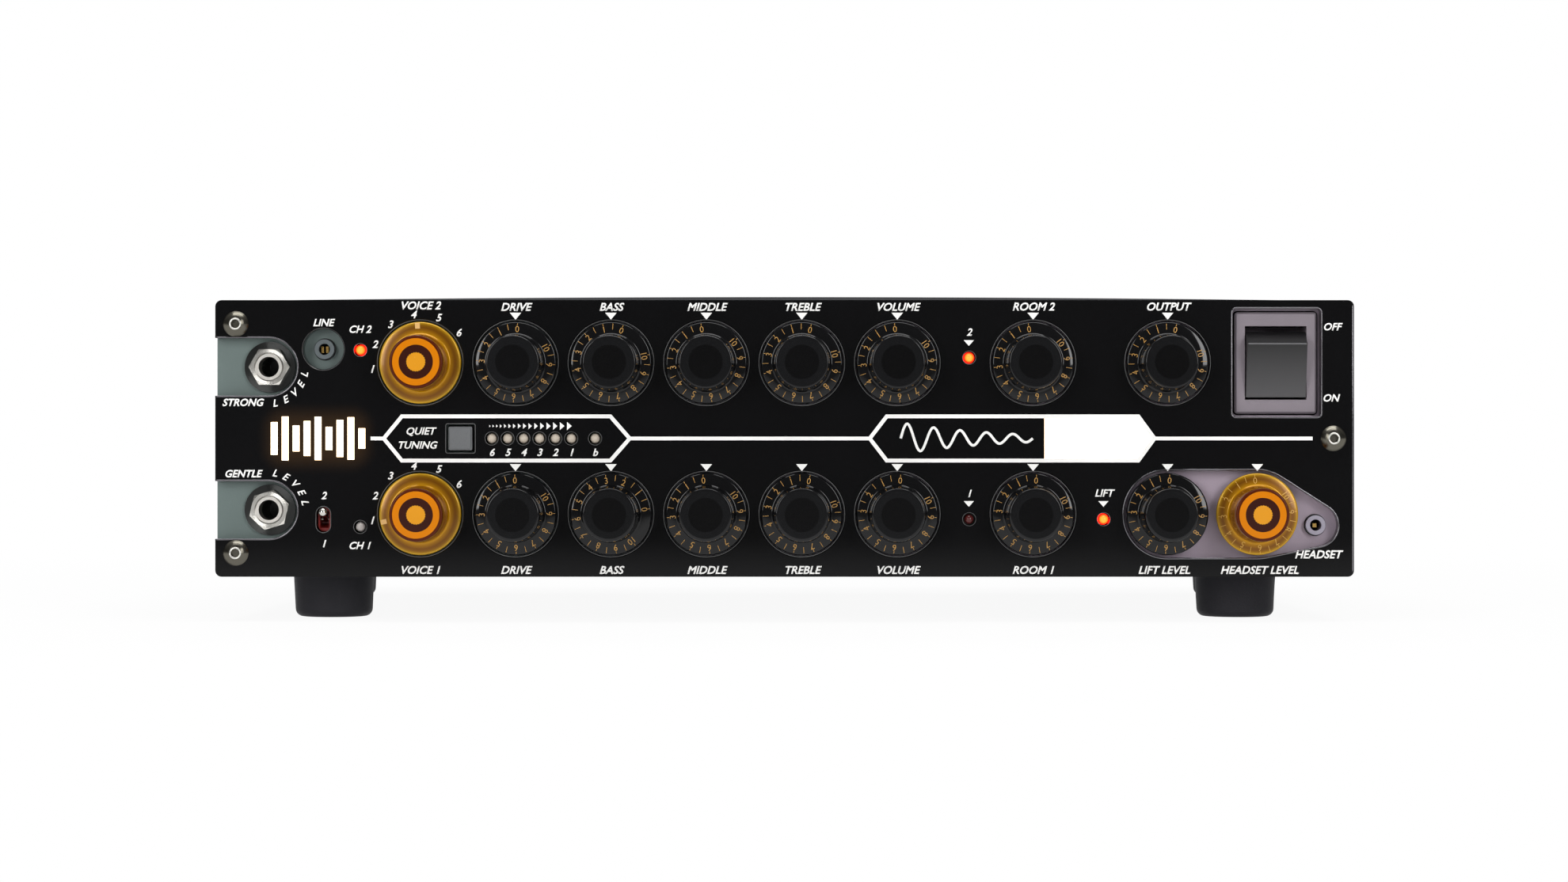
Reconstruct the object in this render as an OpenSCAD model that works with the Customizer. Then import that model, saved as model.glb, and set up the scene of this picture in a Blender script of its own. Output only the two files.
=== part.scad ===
// Guitar amp head: a folded steel case with a thick acrylic control panel and seventeen knobs.
// The front faces -Y, +X is right and +Z is up. The origin is on the table under the middle.

/* [Case] */
// Width of the case and of its front panel
case_w = 358; // [354:1:390]
// Height of the case and of its front panel
case_h = 87; // [86:0.5:100]
// Depth of the steel case from front wall to rear wall
case_d = 240; // [230:1:280]
// Thickness of the folded chassis sheet
sheet_t = 1.5; // [1.2:0.1:2]
// Thickness of the top cover sheet
cover_t = 1.2; // [1:0.1:1.6]
// Rise of the cover's top at mid-width
cover_crown = 1.2; // [0.4:0.1:2]
// Step in from the panel's ends to the cover's sides
side_inset = 2; // [1.9:0.1:3]
// Number of slots in each side vent
vent_slots = 14; // [6:1:16]
// Length of a vent slot
vent_len = 34; // [20:1:44]

/* [Front panel] */
// Thickness of the acrylic front panel
panel_t = 5; // [4.6:0.2:6]
// Corner radius of the panel and of the steel walls
corner_r = 2; // [1:0.5:4]
// Chamfer on the rims of the panel's knob holes
hole_chamfer = 0.6; // [0.2:0.1:0.6]
// Clearance round a knob's skirt in its panel hole
knob_clear = 0.4; // [0.35:0.05:0.7]
// Half height of the lit nameplate window
window_h = 6.7; // [5:0.1:7]
// Number of lit bars in the badge window
badge_bars = 9; // [5:1:9]

/* [Controls] */
// Distance of each knob row from the panel's middle line
row_z = 23.8; // [23:0.1:24.6]
// Pitch of the tone knobs along a row
knob_pitch = 30; // [29.4:0.1:31]
// Place of the selector column across the panel
selector_x = -114.6; // [-116:0.1:-113]
// Place of the reverb column across the panel
reverb_x = 78.1; // [77:0.1:80]
// Place of the master column across the panel
master_x = 120.4; // [119.5:0.1:121]
// Place of the tuner button across the panel
tuner_x = -101.9; // [-104:0.1:-100]
// Distance of the input jacks from the panel's middle line
jack_z = 22.5; // [21.5:0.1:24]
// Distance of the lower and upper panel screws from the middle line
panel_screw_z = 36; // [35.5:0.1:37]

/* [Knobs] */
// Diameter of a knob's skirt
knob_d = 25.8; // [24.5:0.1:26.6]
// Height of a knob
knob_h = 16.5; // [14:0.5:19]
// Diameter of the hat at its top
hat_d = 16.6; // [15.6:0.1:17.4]
// Diameter of the hat at its foot
hat_base_d = 17.8; // [17.4:0.1:19]
// Thickness of the skirt at its rim
skirt_t = 1.8; // [1.4:0.1:2.4]
// Height of a knob's underside above the steel wall
knob_stand = 3.3; // [3:0.1:4]
// Diameter of a control shaft
shaft_d = 6; // [5.6:0.1:6.4]
// Number of splines on a control shaft
spline_teeth = 18; // [12:1:24]

/* [Switches] */
// Width of the power rocker's bezel
bezel_w = 25.9; // [25.4:0.1:27]
// Height of the power rocker's bezel
bezel_h = 32; // [31.4:0.1:33]
// Swing of the rocker to each side of level
rocker_swing = 15; // [12:1:16]
// Side of the square tuner button
button_w = 7.4; // [6.8:0.1:8]
// Push of the tuner button
button_travel = 2; // [1:0.1:2.2]
// Swing of the toggle lever to each side of level
toggle_swing = 14; // [10:1:16]

/* [Jacks] */
// Bore of the quarter inch jacks
jack_bore_d = 6.4; // [6.3:0.05:6.6]
// Size across the flats of the jack nuts
jack_nut_af = 11.2; // [10.8:0.1:12]
// Reach of the jack bushes from the steel walls
jack_proud = 4; // [3.9:0.1:4.5]
// Bore of the small jacks
mini_bore_d = 3.6; // [3.5:0.05:3.7]

/* [Feet] */
// Height of a rubber foot
foot_h = 13.8; // [10:0.2:18]
// Diameter of a foot where it meets the case
foot_d = 26; // [24:0.5:32]
// Distance of the front feet from the case's ends
foot_inset_x = 33.5; // [30:0.5:45]
// Distance of the rear feet from the case's ends
rear_foot_inset_x = 16; // [15.5:0.5:36]
// Distance of the feet from the front and rear walls
foot_inset_y = 30; // [24:1:50]

/* [Inside] */
// Gap between the front wall and the control board
board_gap = 13; // [12.6:0.1:16]
// Thickness of the circuit boards
board_t = 1.6; // [1.2:0.1:2]
// Height of the power board's standoffs
standoff_h = 8; // [5:0.5:10]
// Number of fins on the heat sink
fin_count = 9; // [5:1:11]
// Diameter of the reservoir capacitors
cap_d = 20; // [16:0.5:22]
// Number of blades on the fan
fan_blades = 7; // [5:1:9]

/* [Hidden] */
$fn = 48;
fit = 0.05;
gap = 0.3;
eps = 0.5;
knob_reach = knob_stand + knob_h;
front_y = (knob_reach - case_d - jack_proud) / 2;
rear_y = front_y + case_d;
base_z = foot_h;
top_z = foot_h + case_h;
mid_z = foot_h + case_h / 2;
cover_w = case_w - 2 * side_inset;
shaft_r = shaft_d / 2;
bush_top = knob_stand - 0.6;

// The places on both walls keep their share of the case's width and height
spread = case_w / 358;
rise = case_h / 87;
selector_col = selector_x * spread;
reverb_col = reverb_x * spread;
master_col = master_x * spread;
tuner_col = tuner_x * spread;
tone_pitch = knob_pitch * spread;
row_up = row_z * rise;
jack_up = jack_z * rise;
screw_up = panel_screw_z * rise;
phones_x = master_col + max(28.2 * spread, knob_d + 0.8);
jack_x = -case_w / 2 + 16.7 * spread;
aux_x = jack_x + max(17.3 * spread, 16.3);
aux_z = 28.1 * rise;
toggle_z = -25.5 * rise;
rocker_x = case_w / 2 - 24.3;
mini_x = case_w / 2 - 11.7;
mini_z = -27.3 * rise;
panel_screws_at = [
    [-case_w / 2 + 6.5, screw_up],
    [-case_w / 2 + 6.5, -screw_up],
    [case_w / 2 - 6.5, 0]
];
row_x = concat([for (i = [0:5]) selector_col + i * tone_pitch], [reverb_col, master_col]);
upper_pots = [for (i = [1:7]) [row_x[i], row_up]];
lower_pots = [for (i = [1:7]) [row_x[i], -row_up]];
pots_at = concat(upper_pots, lower_pots, [[phones_x, -row_up]]);
selectors_at = [[selector_col, row_up], [selector_col, -row_up]];
lit_at = [
    [selector_col - 18.8 * spread, 27.8 * rise],
    [reverb_col - 20.1 * spread, 25.4 * rise],
    [master_col - 20.1 * spread, -25.4 * rise]
];
unlit_at = [for (i = [0:1]) [lit_at[i][0], -lit_at[i][1]]];
tuner_at = [for (i = [0:6]) [tuner_col + 9.8 + 5 * i + (i == 6 ? 2.5 : 0), 0]];
leds_at = concat(lit_at, unlit_at, tuner_at);
led_r = 1.5;
led_hole_r = 2;

window_x = 81.7 * spread;
window_tip = 34.6;
lens_t = 1.8;
light_t = 1.2;
pocket = lens_t + light_t;
plate_x = window_x + window_tip / 2;
plate_w = window_tip + 6;
plate_h = 2 * window_h + 4;
badge_x = -case_w / 2 + 32.3;
badge_w = 31;
badge_h = 14.5;
bar_pitch = badge_w / badge_bars;

pot_r = 8.2;
pot_d = 9;
selector_r = 9.4;
jack_r = 4.5;
jack_body = 17;
jack_d = 24;
washer_t = 1;
jack_nut_t = 2.6;
rocker_body_w = 22;
rocker_body_h = 29;
rocker_open_w = 19.4;
rocker_open_h = 23.2;
bezel_t = 2.2;
pivot_in = 4;
face_a = 8.7;
face_h = 9.3;
paddle_w = rocker_open_w - 2 * gap;
pin_r = 1.5;
toggle_pivot = -sheet_t - 1.5;
toggle_len = panel_t + sheet_t + 3.1;

foot_x = case_w / 2 - foot_inset_x;
rear_foot_x = case_w / 2 - rear_foot_inset_x;
feet_at = [for (side = [-1, 1]) for (at = [[foot_x, front_y + foot_inset_y], [rear_foot_x, rear_y - foot_inset_y]])
    [side * at[0], at[1]]];
inlet_x = case_w / 2 - 36 * spread;
inlet_z = -16 * rise;
fan_x = case_w / 2 - 102 * spread;
fan_side = 60;
fan_d = 15;
fan_pitch = 25;
xlr_x = fan_x - 62 * spread;
xlr_z = -14 * rise;
rear_jacks_at = [for (i = [0:4]) [(30 + 29 * i) * spread - case_w / 2, -16 * rise]];
front_jacks_at = [[jack_x, jack_up], [jack_x, -jack_up]];

board_y = front_y + sheet_t + board_gap;
power_y = front_y + 48;
power_d = case_d - 92;
power_w = 200;
power_x = 0;
power_z = base_z + sheet_t + standoff_h;
power_top = power_z + board_t;
cover_screws_at = [front_y + 40, (front_y + rear_y) / 2, rear_y - 40];

function arc(c, r, a0, a1, n = 6) =
    [for (i = [0:n]) c + r * [cos(a0 + (a1 - a0) * i / n), sin(a0 + (a1 - a0) * i / n)]];

function rounded(w, h, r, n = 6) = concat(
    arc([w / 2 - r, h / 2 - r], r, 0, 90, n),
    arc([r - w / 2, h / 2 - r], r, 90, 180, n),
    arc([r - w / 2, r - h / 2], r, 180, 270, n),
    arc([w / 2 - r, r - h / 2], r, 270, 360, n)
);

function stadium(len, wid, n = 8) = concat(
    arc([0, (len - wid) / 2], wid / 2, 0, 180, n),
    arc([0, (wid - len) / 2], wid / 2, 180, 360, n)
);

function spline(r_out, r_in, teeth) =
    [for (i = [0:2 * teeth - 1]) (i % 2 == 0 ? r_out : r_in) * [cos(180 * i / teeth), sin(180 * i / teeth)]];

// One leg of the cover's bent sheet, from the foot of one side over the crown to the other
function cover_line(inset, n = 24) = let (
    half = cover_w / 2 - inset,
    r = 3 - inset,
    top = top_z - inset
) concat(
    [[half, base_z]],
    arc([half - r, top - r], r, 0, 90),
    [for (i = [1:n - 1]) let (x = (half - r) * (1 - 2 * i / n))
        [x, top + cover_crown * (1 - pow(x / (half - r), 2))]],
    arc([r - half, top - r], r, 90, 180),
    [[-half, base_z]]
);

function reversed(list) = [for (i = [len(list) - 1:-1:0]) list[i]];

function bar_height(i) = badge_h * (0.35 + 0.6 * abs(sin(36 + i * 62)));

// A place on the front wall, with local +Z pointing out of the amp and local +Y up
module on_front(at, out = 0) {
    translate([at[0], front_y - out, mid_z + at[1]])
        rotate([90, 0, 0])
            children();
}

// The same on the rear wall
module on_rear(at, out = 0) {
    translate([at[0], rear_y + out, mid_z + at[1]])
        rotate([90, 0, 180])
            children();
}

module bar(points, z0, z1) {
    translate([0, 0, z0])
        linear_extrude(height = z1 - z0)
            polygon(points);
}

module rod(r, z0, z1) {
    translate([0, 0, z0])
        cylinder(r = r, h = z1 - z0);
}

module box(w, h, z0, z1) {
    translate([-w / 2, -h / 2, z0])
        cube([w, h, z1 - z0]);
}

module hex(af, z0, z1) {
    translate([0, 0, z0])
        cylinder(r = af / sqrt(3), h = z1 - z0, $fn = 6);
}

// Button head screw along local -Z, its head standing on z = 0
module screw(head_r, head_h, shank_r, len, socket) {
    crown = head_h * 0.85;
    dome_r = (head_r * head_r + crown * crown) / (2 * crown);
    difference() {
        union() {
            rotate_extrude()
                polygon(concat([[0, 0], [head_r, 0]],
                    arc([0, head_h - dome_r], dome_r, acos(head_r / dome_r), 90, 8)));
            rod(shank_r, -len, 0.1);
        }
        hex(socket, head_h * 0.4, head_h + eps);
    }
}

module chassis() {
    inner = cover_w - 2 * cover_t;
    deep = case_d - 2 * sheet_t;
    screw_end = 8;
    color("slategray")
        difference() {
            union() {
                translate([-inner / 2, front_y + sheet_t, base_z])
                    cube([inner, deep, sheet_t]);
                for (x = [-inner / 2, inner / 2 - sheet_t])
                    translate([x, front_y + screw_end, base_z])
                        cube([sheet_t, case_d - screw_end - sheet_t, 14]);
            }
            for (at = feet_at)
                translate([at[0], at[1], base_z - eps])
                    cylinder(r = 2 + fit, h = sheet_t + 2 * eps);
            side_screws()
                rod(1.5 + fit, -12, eps);
        }
}

// A wall of the case in local coordinates, with the flange that carries the cover's edge
module case_wall() {
    bar(rounded(case_w, case_h, corner_r), -sheet_t, 0);
    translate([12 - cover_w / 2, case_h / 2 - cover_t - sheet_t, -12.5])
        cube([cover_w - 24, sheet_t, 12.5 - sheet_t / 2]);
}

module front_wall() {
    color("slategray")
        difference() {
            on_front([0, 0])
                case_wall();
            front_wall_holes();
        }
}

module rear_wall() {
    color("slategray")
        difference() {
            on_rear([0, 0])
                case_wall();
            rear_wall_holes();
        }
}

module side_screws() {
    for (y = cover_screws_at)
        for (side = [-1, 1])
            translate([side * cover_w / 2, y, base_z + 8])
                rotate([0, side * 90, 0])
                    children();
}

module front_wall_holes() {
    cut = sheet_t + eps;
    for (at = concat(pots_at, selectors_at))
        on_front(at)
            rod(3.6, -cut, eps);
    for (at = front_jacks_at)
        on_front(at)
            rod(jack_r + 0.1, -cut, eps);
    for (at = leds_at)
        on_front(at)
            rod(2.1, -cut, eps);
    for (at = panel_screws_at)
        on_front(at)
            rod(1.9 + fit, -cut, eps);
    for (at = [[aux_x, aux_z], [mini_x, mini_z]])
        on_front(at)
            rod(3.2, -cut, eps);
    on_front([aux_x, toggle_z])
        box(4.6, 8.2, -cut, eps);
    on_front([tuner_col, 0])
        box(button_w + 1, button_w + 1, -cut, eps);
    on_front([rocker_x, row_up])
        box(rocker_body_w + 0.2, rocker_body_h + 0.2, -cut, eps);
}

module rear_wall_holes() {
    cut = sheet_t + eps;
    for (at = rear_jacks_at)
        on_rear(at)
            rod(jack_r + 0.1, -cut, eps);
    on_rear([fan_x, 0]) {
        rod(27.5, -cut, eps);
        fan_corners()
            rod(1.9, -cut, eps);
    }
    on_rear([inlet_x, inlet_z]) {
        box(28, 20.6, -cut, eps);
        for (x = [-20, 20])
            translate([x, 0, 0])
                rod(1.6, -cut, eps);
    }
    on_rear([xlr_x, xlr_z]) {
        rod(11.2, -cut, eps);
        xlr_corners()
            rod(1.6, -cut, eps);
    }
}

module fan_corners() {
    for (x = [-fan_pitch, fan_pitch])
        for (y = [-fan_pitch, fan_pitch])
            translate([x, y, 0])
                children();
}

module xlr_corners() {
    for (s = [-1, 1])
        translate([s * 9.5, -s * 12, 0])
            children();
}

// Inverted U of bent sheet with a slightly crowned top, slotted at both sides
module top_cover() {
    y0 = front_y + sheet_t + 0.2;
    len = case_d - 2 * sheet_t - 0.4;
    pitch = (len - 90) / vent_slots;
    color("dimgray")
        difference() {
            translate([0, y0, 0])
                rotate([90, 0, 0])
                    translate([0, 0, -len])
                        linear_extrude(height = len)
                            polygon(concat(cover_line(0), reversed(cover_line(cover_t))));
            for (side = [-1, 1])
                for (i = [0:vent_slots - 1])
                    translate([side * cover_w / 2, y0 + 45 + pitch * (i + 0.5), mid_z + 6])
                        rotate([90, 0, 90])
                            bar(stadium(vent_len, 3.2), -cover_t - eps, cover_t + eps);
            side_screws()
                rod(1.5 + 0.2, -12, eps);
        }
}

module cover_screws() {
    color("black")
        side_screws()
            screw(3, 1.7, 1.5, 7, 2);
}

// Tangent line of the recess from the phones knob to the phones jack, then round both
function recess_outline() = let (
    c0 = [master_col, -row_up],
    c1 = [phones_x, -row_up],
    c2 = [mini_x, mini_z],
    r = knob_d / 2 + 0.9,
    r2 = 6.7,
    d = c2 - c1,
    lean = atan2(d[1], d[0]),
    open = acos((r - r2) / norm(d))
) concat(
    arc(c0, r, 90, 270, 32),
    arc(c1, r, 270, 360 + lean - open, 4),
    arc(c2, r2, lean - open, lean + open, 20),
    arc(c1, r, lean + open, 90, 8)
);

module front_panel() {
    color("black")
        difference() {
            on_front([0, 0])
                bar(rounded(case_w, case_h, corner_r), 0, panel_t);
            for (at = concat(selectors_at, upper_pots, [for (i = [0:5]) lower_pots[i]]))
                on_front(at)
                    panel_hole(knob_d / 2 + knob_clear, hole_chamfer);
            on_front([0, 0])
                bar(recess_outline(), -eps, panel_t + eps);
            for (at = front_jacks_at)
                on_front(at)
                    jack_slot();
            on_front([aux_x, aux_z])
                panel_hole(6.4, 0.4);
            for (at = leds_at)
                on_front(at)
                    panel_hole(led_hole_r, 0.2);
            for (at = panel_screws_at)
                on_front(at)
                    rod(2.1, -eps, panel_t + eps);
            on_front([aux_x, toggle_z])
                bar(stadium(8.2, 4.6, 12), -eps, panel_t + eps);
            on_front([tuner_col, 0])
                bar(rounded(button_w + 1.8, button_w + 1.8, 0.6), -eps, panel_t + eps);
            on_front([rocker_x, row_up])
                bar(rounded(bezel_w + 2, bezel_h + 2.1, 1.2), -eps, panel_t + eps);
            on_front([plate_x, 0])
                box(plate_w + 0.2, plate_h + 0.2, -eps, pocket);
            on_front([window_x, 0])
                bar(window_outline(0.05), -eps, panel_t + eps);
            on_front([badge_x, 0]) {
                box(badge_w + 2.2, badge_h + 2.2, -eps, pocket);
                badge_shapes(0.05, panel_t + eps);
            }
        }
}

module panel_hole(r, chamfer) {
    rod(r, -eps, panel_t + eps);
    translate([0, 0, panel_t - chamfer])
        cylinder(r1 = r, r2 = r + chamfer * 1.5, h = chamfer * 1.5);
}

module jack_slot() {
    far = 40;
    bar(concat(arc([0, 0], 9.1, -90, 90, 24), [[-far, 9.1], [-far, -9.1]]), -eps, panel_t + eps);
}

function window_outline(grow) = [
    [-grow, window_h + grow],
    [window_tip - 5 + grow, window_h + grow],
    [window_tip + grow, 0],
    [window_tip - 5 + grow, -window_h - grow],
    [-grow, -window_h - grow]
];

module badge_shapes(grow, high) {
    for (i = [0:badge_bars - 1])
        translate([bar_pitch * (i + 0.5) - badge_w / 2, 0, 0])
            box(bar_pitch * 0.6 + 2 * grow, bar_height(i) + 2 * grow, 0, high);
}

module panel_lenses() {
    color("ivory") {
        on_front([plate_x, 0])
            box(plate_w, plate_h, light_t, pocket);
        on_front([window_x, 0])
            bar(window_outline(0), pocket - 0.1, panel_t - 0.1);
        on_front([badge_x, 0]) {
            box(badge_w + 2, badge_h + 2, light_t, pocket);
            translate([0, 0, light_t])
                badge_shapes(0, panel_t - 0.1 - light_t);
        }
    }
}

module backlight_boards() {
    color("white") {
        on_front([plate_x, 0])
            box(plate_w, plate_h, 0, light_t);
        on_front([badge_x, 0])
            box(badge_w + 2, badge_h + 2, 0, light_t);
    }
}

module panel_screws() {
    color("black")
        for (at = panel_screws_at)
            on_front(at, panel_t)
                screw(4, 2.2, 1.9, panel_t + 7, 2.5);
}

module feet() {
    low_r = foot_d / 2 - 0.6;
    color("black")
        for (at = feet_at)
            translate([at[0], at[1], 0])
                difference() {
                    rotate_extrude()
                        polygon(concat([[0, 0]], arc([low_r - 2.5, 2.5], 2.5, 270, 360, 5),
                            [[foot_d / 2, foot_h], [0, foot_h]]));
                    rod(2.2, -eps, foot_h + eps);
                    rod(5, -eps, foot_h - 5);
                }
}

module foot_screws() {
    color("silver")
        for (at = feet_at)
            translate([at[0], at[1], foot_h - 5])
                rotate([180, 0, 0])
                    screw(4.2, 2.4, 2, 5 + sheet_t + 3, 2.5);
}

// Sealed control: can, threaded bush, blind shaft bore and three solder pins to the board
module control(can_r, can_d) {
    difference() {
        union() {
            rod(can_r, -sheet_t - can_d, -sheet_t);
            rod(3.5, -sheet_t - 0.1, bush_top);
            for (x = [-5, 0, 5])
                translate([x, -3, 0])
                    box(1, 0.5, -sheet_t - board_gap, -sheet_t - can_d + 0.1);
        }
        rod(shaft_r + fit, -sheet_t - 6, bush_top + eps);
    }
}

module potentiometers() {
    color("silver")
        for (at = pots_at)
            on_front(at)
                control(pot_r, pot_d);
}

module selector_switches() {
    color("silver")
        for (at = selectors_at)
            on_front(at)
                control(selector_r, 11);
}

module pot_nuts() {
    color("silver")
        for (at = concat(pots_at, selectors_at))
            on_front(at)
                difference() {
                    hex(10, 0, 2);
                    rod(3.5 + fit, -eps, 2 + eps);
                }
}

// Half section of a top-hat knob: hub, hollow, skirt, fillet and hat
function knob_section() = let (
    rim = knob_d / 2,
    foot = hat_base_d / 2,
    top = hat_d / 2,
    rise = skirt_t + 0.35,
    fillet = 0.8,
    edge = 0.5
) concat(
    [[0, 0], [5.2, 0], [5.2, knob_h - 3.2], [7, knob_h - 3.2], [foot - 1.2, 0], [rim, 0]],
    arc([rim - edge, skirt_t - edge], edge, 0, 84, 4),
    arc([foot + fillet, rise + fillet], fillet, 270, 185, 5),
    arc([top - edge, knob_h - edge], edge, 5, 90, 4),
    [[0, knob_h]]
);

// A knob cap pressed on its splined shaft: two solids that turn together
module knob(at) {
    shaft_top = knob_h - 2.2;
    tooth_r = shaft_r - 0.06;
    on_front(at, knob_stand) {
        difference() {
            rotate_extrude()
                polygon(knob_section());
            bar(spline(tooth_r + 0.03, tooth_r - 0.27, spline_teeth), -eps, shaft_top + 0.1);
        }
        rod(shaft_r, -knob_stand - sheet_t - 5.8, -0.3);
        bar(spline(tooth_r, tooth_r - 0.3, spline_teeth), -0.4, shaft_top);
    }
}

module upper_knob(i) {
    color(i == 0 ? "orange" : "black")
        knob([row_x[i], row_up]);
}

module lower_knob(i) {
    color(i == 0 || i == 8 ? "orange" : "black")
        knob([i == 8 ? phones_x : row_x[i], -row_up]);
}

// Quarter inch jack: square body inside, bush through the wall, stepped bore
module jack() {
    difference() {
        union() {
            box(jack_body, jack_body, -sheet_t - jack_d, -sheet_t);
            rotate_extrude()
                polygon([[0, -sheet_t - 0.1], [jack_r, -sheet_t - 0.1], [jack_r, jack_proud - 0.35],
                    [jack_r - 0.35, jack_proud], [0, jack_proud]]);
        }
        rod(jack_bore_d / 2, -sheet_t - jack_d + 2, jack_proud + eps);
    }
}

module input_jacks() {
    color("dimgray")
        for (at = front_jacks_at)
            on_front(at)
                jack();
}

module rear_jacks() {
    color("dimgray")
        for (at = rear_jacks_at)
            on_rear(at)
                jack();
}

module washer() {
    difference() {
        rod(8, 0, washer_t);
        rod(jack_r + fit, -eps, washer_t + eps);
    }
}

module jack_washers() {
    color("black") {
        for (at = front_jacks_at)
            on_front(at)
                washer();
        for (at = rear_jacks_at)
            on_rear(at)
                washer();
    }
}

// Hex nut whose outer corners are turned off to a cone
module jack_nut(turn) {
    top = washer_t + jack_nut_t;
    corner = jack_nut_af / sqrt(3);
    difference() {
        intersection() {
            rotate([0, 0, turn])
                hex(jack_nut_af, washer_t, top);
            rotate_extrude()
                polygon([[0, 0], [corner + 0.2, 0], [corner + 0.2, top - 0.55],
                    [corner - 0.9, top + 0.05], [0, top + 0.05]]);
        }
        rod(jack_r + fit, 0, top + eps);
    }
}

module jack_nuts() {
    color("silver") {
        for (i = [0, 1])
            on_front(front_jacks_at[i])
                jack_nut(i * 17);
        for (i = [0:4])
            on_rear(rear_jacks_at[i])
                jack_nut(i * 11);
    }
}

module mini_jacks() {
    color("black")
        for (at = [[aux_x, aux_z], [mini_x, mini_z]])
            on_front(at)
                difference() {
                    union() {
                        box(9.6, 9.6, -sheet_t - board_gap, -sheet_t);
                        rod(3.1, -sheet_t - 0.1, 2.4);
                    }
                    rod(mini_bore_d / 2, -sheet_t - board_gap + 1, 2.4 + eps);
                }
}

// Round 3 mm lamp with a dome, a collar and two leads to the control board
module led() {
    tip = panel_t + 0.2;
    rotate_extrude()
        polygon(concat([[0, 0.4], [1.75, 0.4], [1.75, 1.4], [led_r, 1.4]],
            arc([0, tip - led_r], led_r, 0, 90, 8)));
    for (x = [-0.8, 0.8])
        translate([x, 0, 0])
            box(0.5, 0.5, -sheet_t - board_gap, 0.6);
}

module lit_leds() {
    color("orangered")
        for (at = lit_at)
            on_front(at)
                led();
}

module unlit_leds() {
    color("maroon")
        for (at = unlit_at)
            on_front(at)
                led();
}

module tuner_leds() {
    color("wheat")
        for (at = tuner_at)
            on_front(at)
                led();
}

function bevel(wide, high, edge) = [
    [-wide / 2 - 1, -1],
    [wide / 2 + 1, -1],
    [wide / 2 + 1, high - edge - 1],
    [wide / 2 - edge - 1, high + 1],
    [edge + 1 - wide / 2, high + 1],
    [-wide / 2 - 1, high - edge - 1]
];

// Plate with rounded corners, its four front edges cut back at 45 degrees
module bevelled(w, h, r, high, edge) {
    intersection() {
        bar(rounded(w, h, r), 0, high);
        rotate([90, 0, 0])
            bar(bevel(w, high, edge), -h, h);
        rotate([90, 0, 90])
            bar(bevel(h, high, edge), -w, w);
    }
}

// Snap-in rocker switch body with its bezel, pivot holes and four flat terminals
module rocker_housing() {
    back = -sheet_t - 18;
    color("darkslategray")
        on_front([rocker_x, row_up]) {
            difference() {
                union() {
                    bevelled(bezel_w, bezel_h, 1, bezel_t, 0.6);
                    box(rocker_body_w, rocker_body_h, back, 0.1);
                }
                box(rocker_open_w, rocker_open_h, back + 2, bezel_t + eps);
                translate([0, 0, bezel_t - pivot_in - 2.2])
                    rotate([0, 90, 0])
                        cylinder(r = pin_r + fit, h = rocker_body_w + 2, center = true);
            }
            for (x = [-5.5, 5.5])
                for (y = [-7, 7])
                    translate([x, y, 0])
                        box(0.8, 6.3, back - 8, back + 0.1);
        }
}

// Rocker paddle at rest with its lower end pressed, turning on two side pins
module rocker_paddle() {
    color("dimgray")
        on_front([rocker_x, row_up])
            translate([0, 0, bezel_t - pivot_in - 2.2])
                rotate([rocker_swing, 0, 0])
                    rotate([0, 90, 0])
                        rotate([0, 0, 90]) {
                            bar([[face_a, face_h], [-face_a, face_h], [-10.9, 2.6], [-5, -2.6],
                                [5, -2.6], [10.9, 2.6]], -paddle_w / 2, paddle_w / 2);
                            rod(pin_r, -rocker_body_w / 2, rocker_body_w / 2);
                        }
}

// Square cap on a square stem that slides in the switch behind it
module tuner_button() {
    color("gray")
        on_front([tuner_col, 0]) {
            bar(rounded(button_w, button_w, 0.5), 0.8, panel_t + 0.6);
            bar(rounded(button_w - 0.8, button_w - 0.8, 0.4), panel_t + 0.5, panel_t + 1);
            box(3, 3, -sheet_t - 7, 0.9);
        }
}

module tuner_switch() {
    front = 0.8 - button_travel - 1;
    color("black")
        on_front([tuner_col, 0])
            difference() {
                box(8, 8, -sheet_t - board_gap, front);
                box(3 + 2 * fit, 3 + 2 * fit, -sheet_t - 7 - button_travel - 0.5, front + eps);
            }
}

// Miniature toggle: red body with a lever slot and a cross bore for the lever's pin
module toggle_switch() {
    reach = 1.5;
    color("red")
        on_front([aux_x, toggle_z])
            difference() {
                union() {
                    box(8, 11, -sheet_t - board_gap, -sheet_t);
                    bar(stadium(7.6, 4, 12), -sheet_t - 0.1, reach);
                }
                translate([0, 0, toggle_pivot])
                    rotate([0, 90, 0])
                        cylinder(r = 0.8 + fit, h = 6.2, center = true);
                bar_wedge(1.4, reach + eps);
            }
}

// Sweep of the lever, wider at the mouth than at the pivot
module bar_wedge(half, mouth) {
    run = (mouth - toggle_pivot) * tan(toggle_swing + 2);
    rotate([0, 90, 0])
        rotate([0, 0, 90])
            bar([[half, toggle_pivot - 1.6], [half + run, mouth], [-half - run, mouth],
                [-half, toggle_pivot - 1.6]], -half, half);
}

// Ball-ended lever on a cross pin, at rest tipped up
module toggle_lever() {
    color("silver")
        on_front([aux_x, toggle_z])
            translate([0, 0, toggle_pivot])
                rotate([-toggle_swing, 0, 0]) {
                    rotate([0, 90, 0])
                        cylinder(r = 0.8, h = 6, center = true);
                    cylinder(r1 = 0.95, r2 = 0.75, h = toggle_len);
                    translate([0, 0, toggle_len])
                        sphere(r = 1.4);
                }
}

module preamp_board() {
    x0 = jack_x + 10;
    x1 = case_w / 2 - 6.5;
    color("darkgreen")
        difference() {
            translate([x0, board_y, mid_z - 34])
                cube([x1 - x0, board_t, 70]);
            translate([rocker_x - 14, board_y - eps, mid_z + row_up - 18])
                cube([60, board_t + 2 * eps, 60]);
        }
}

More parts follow.
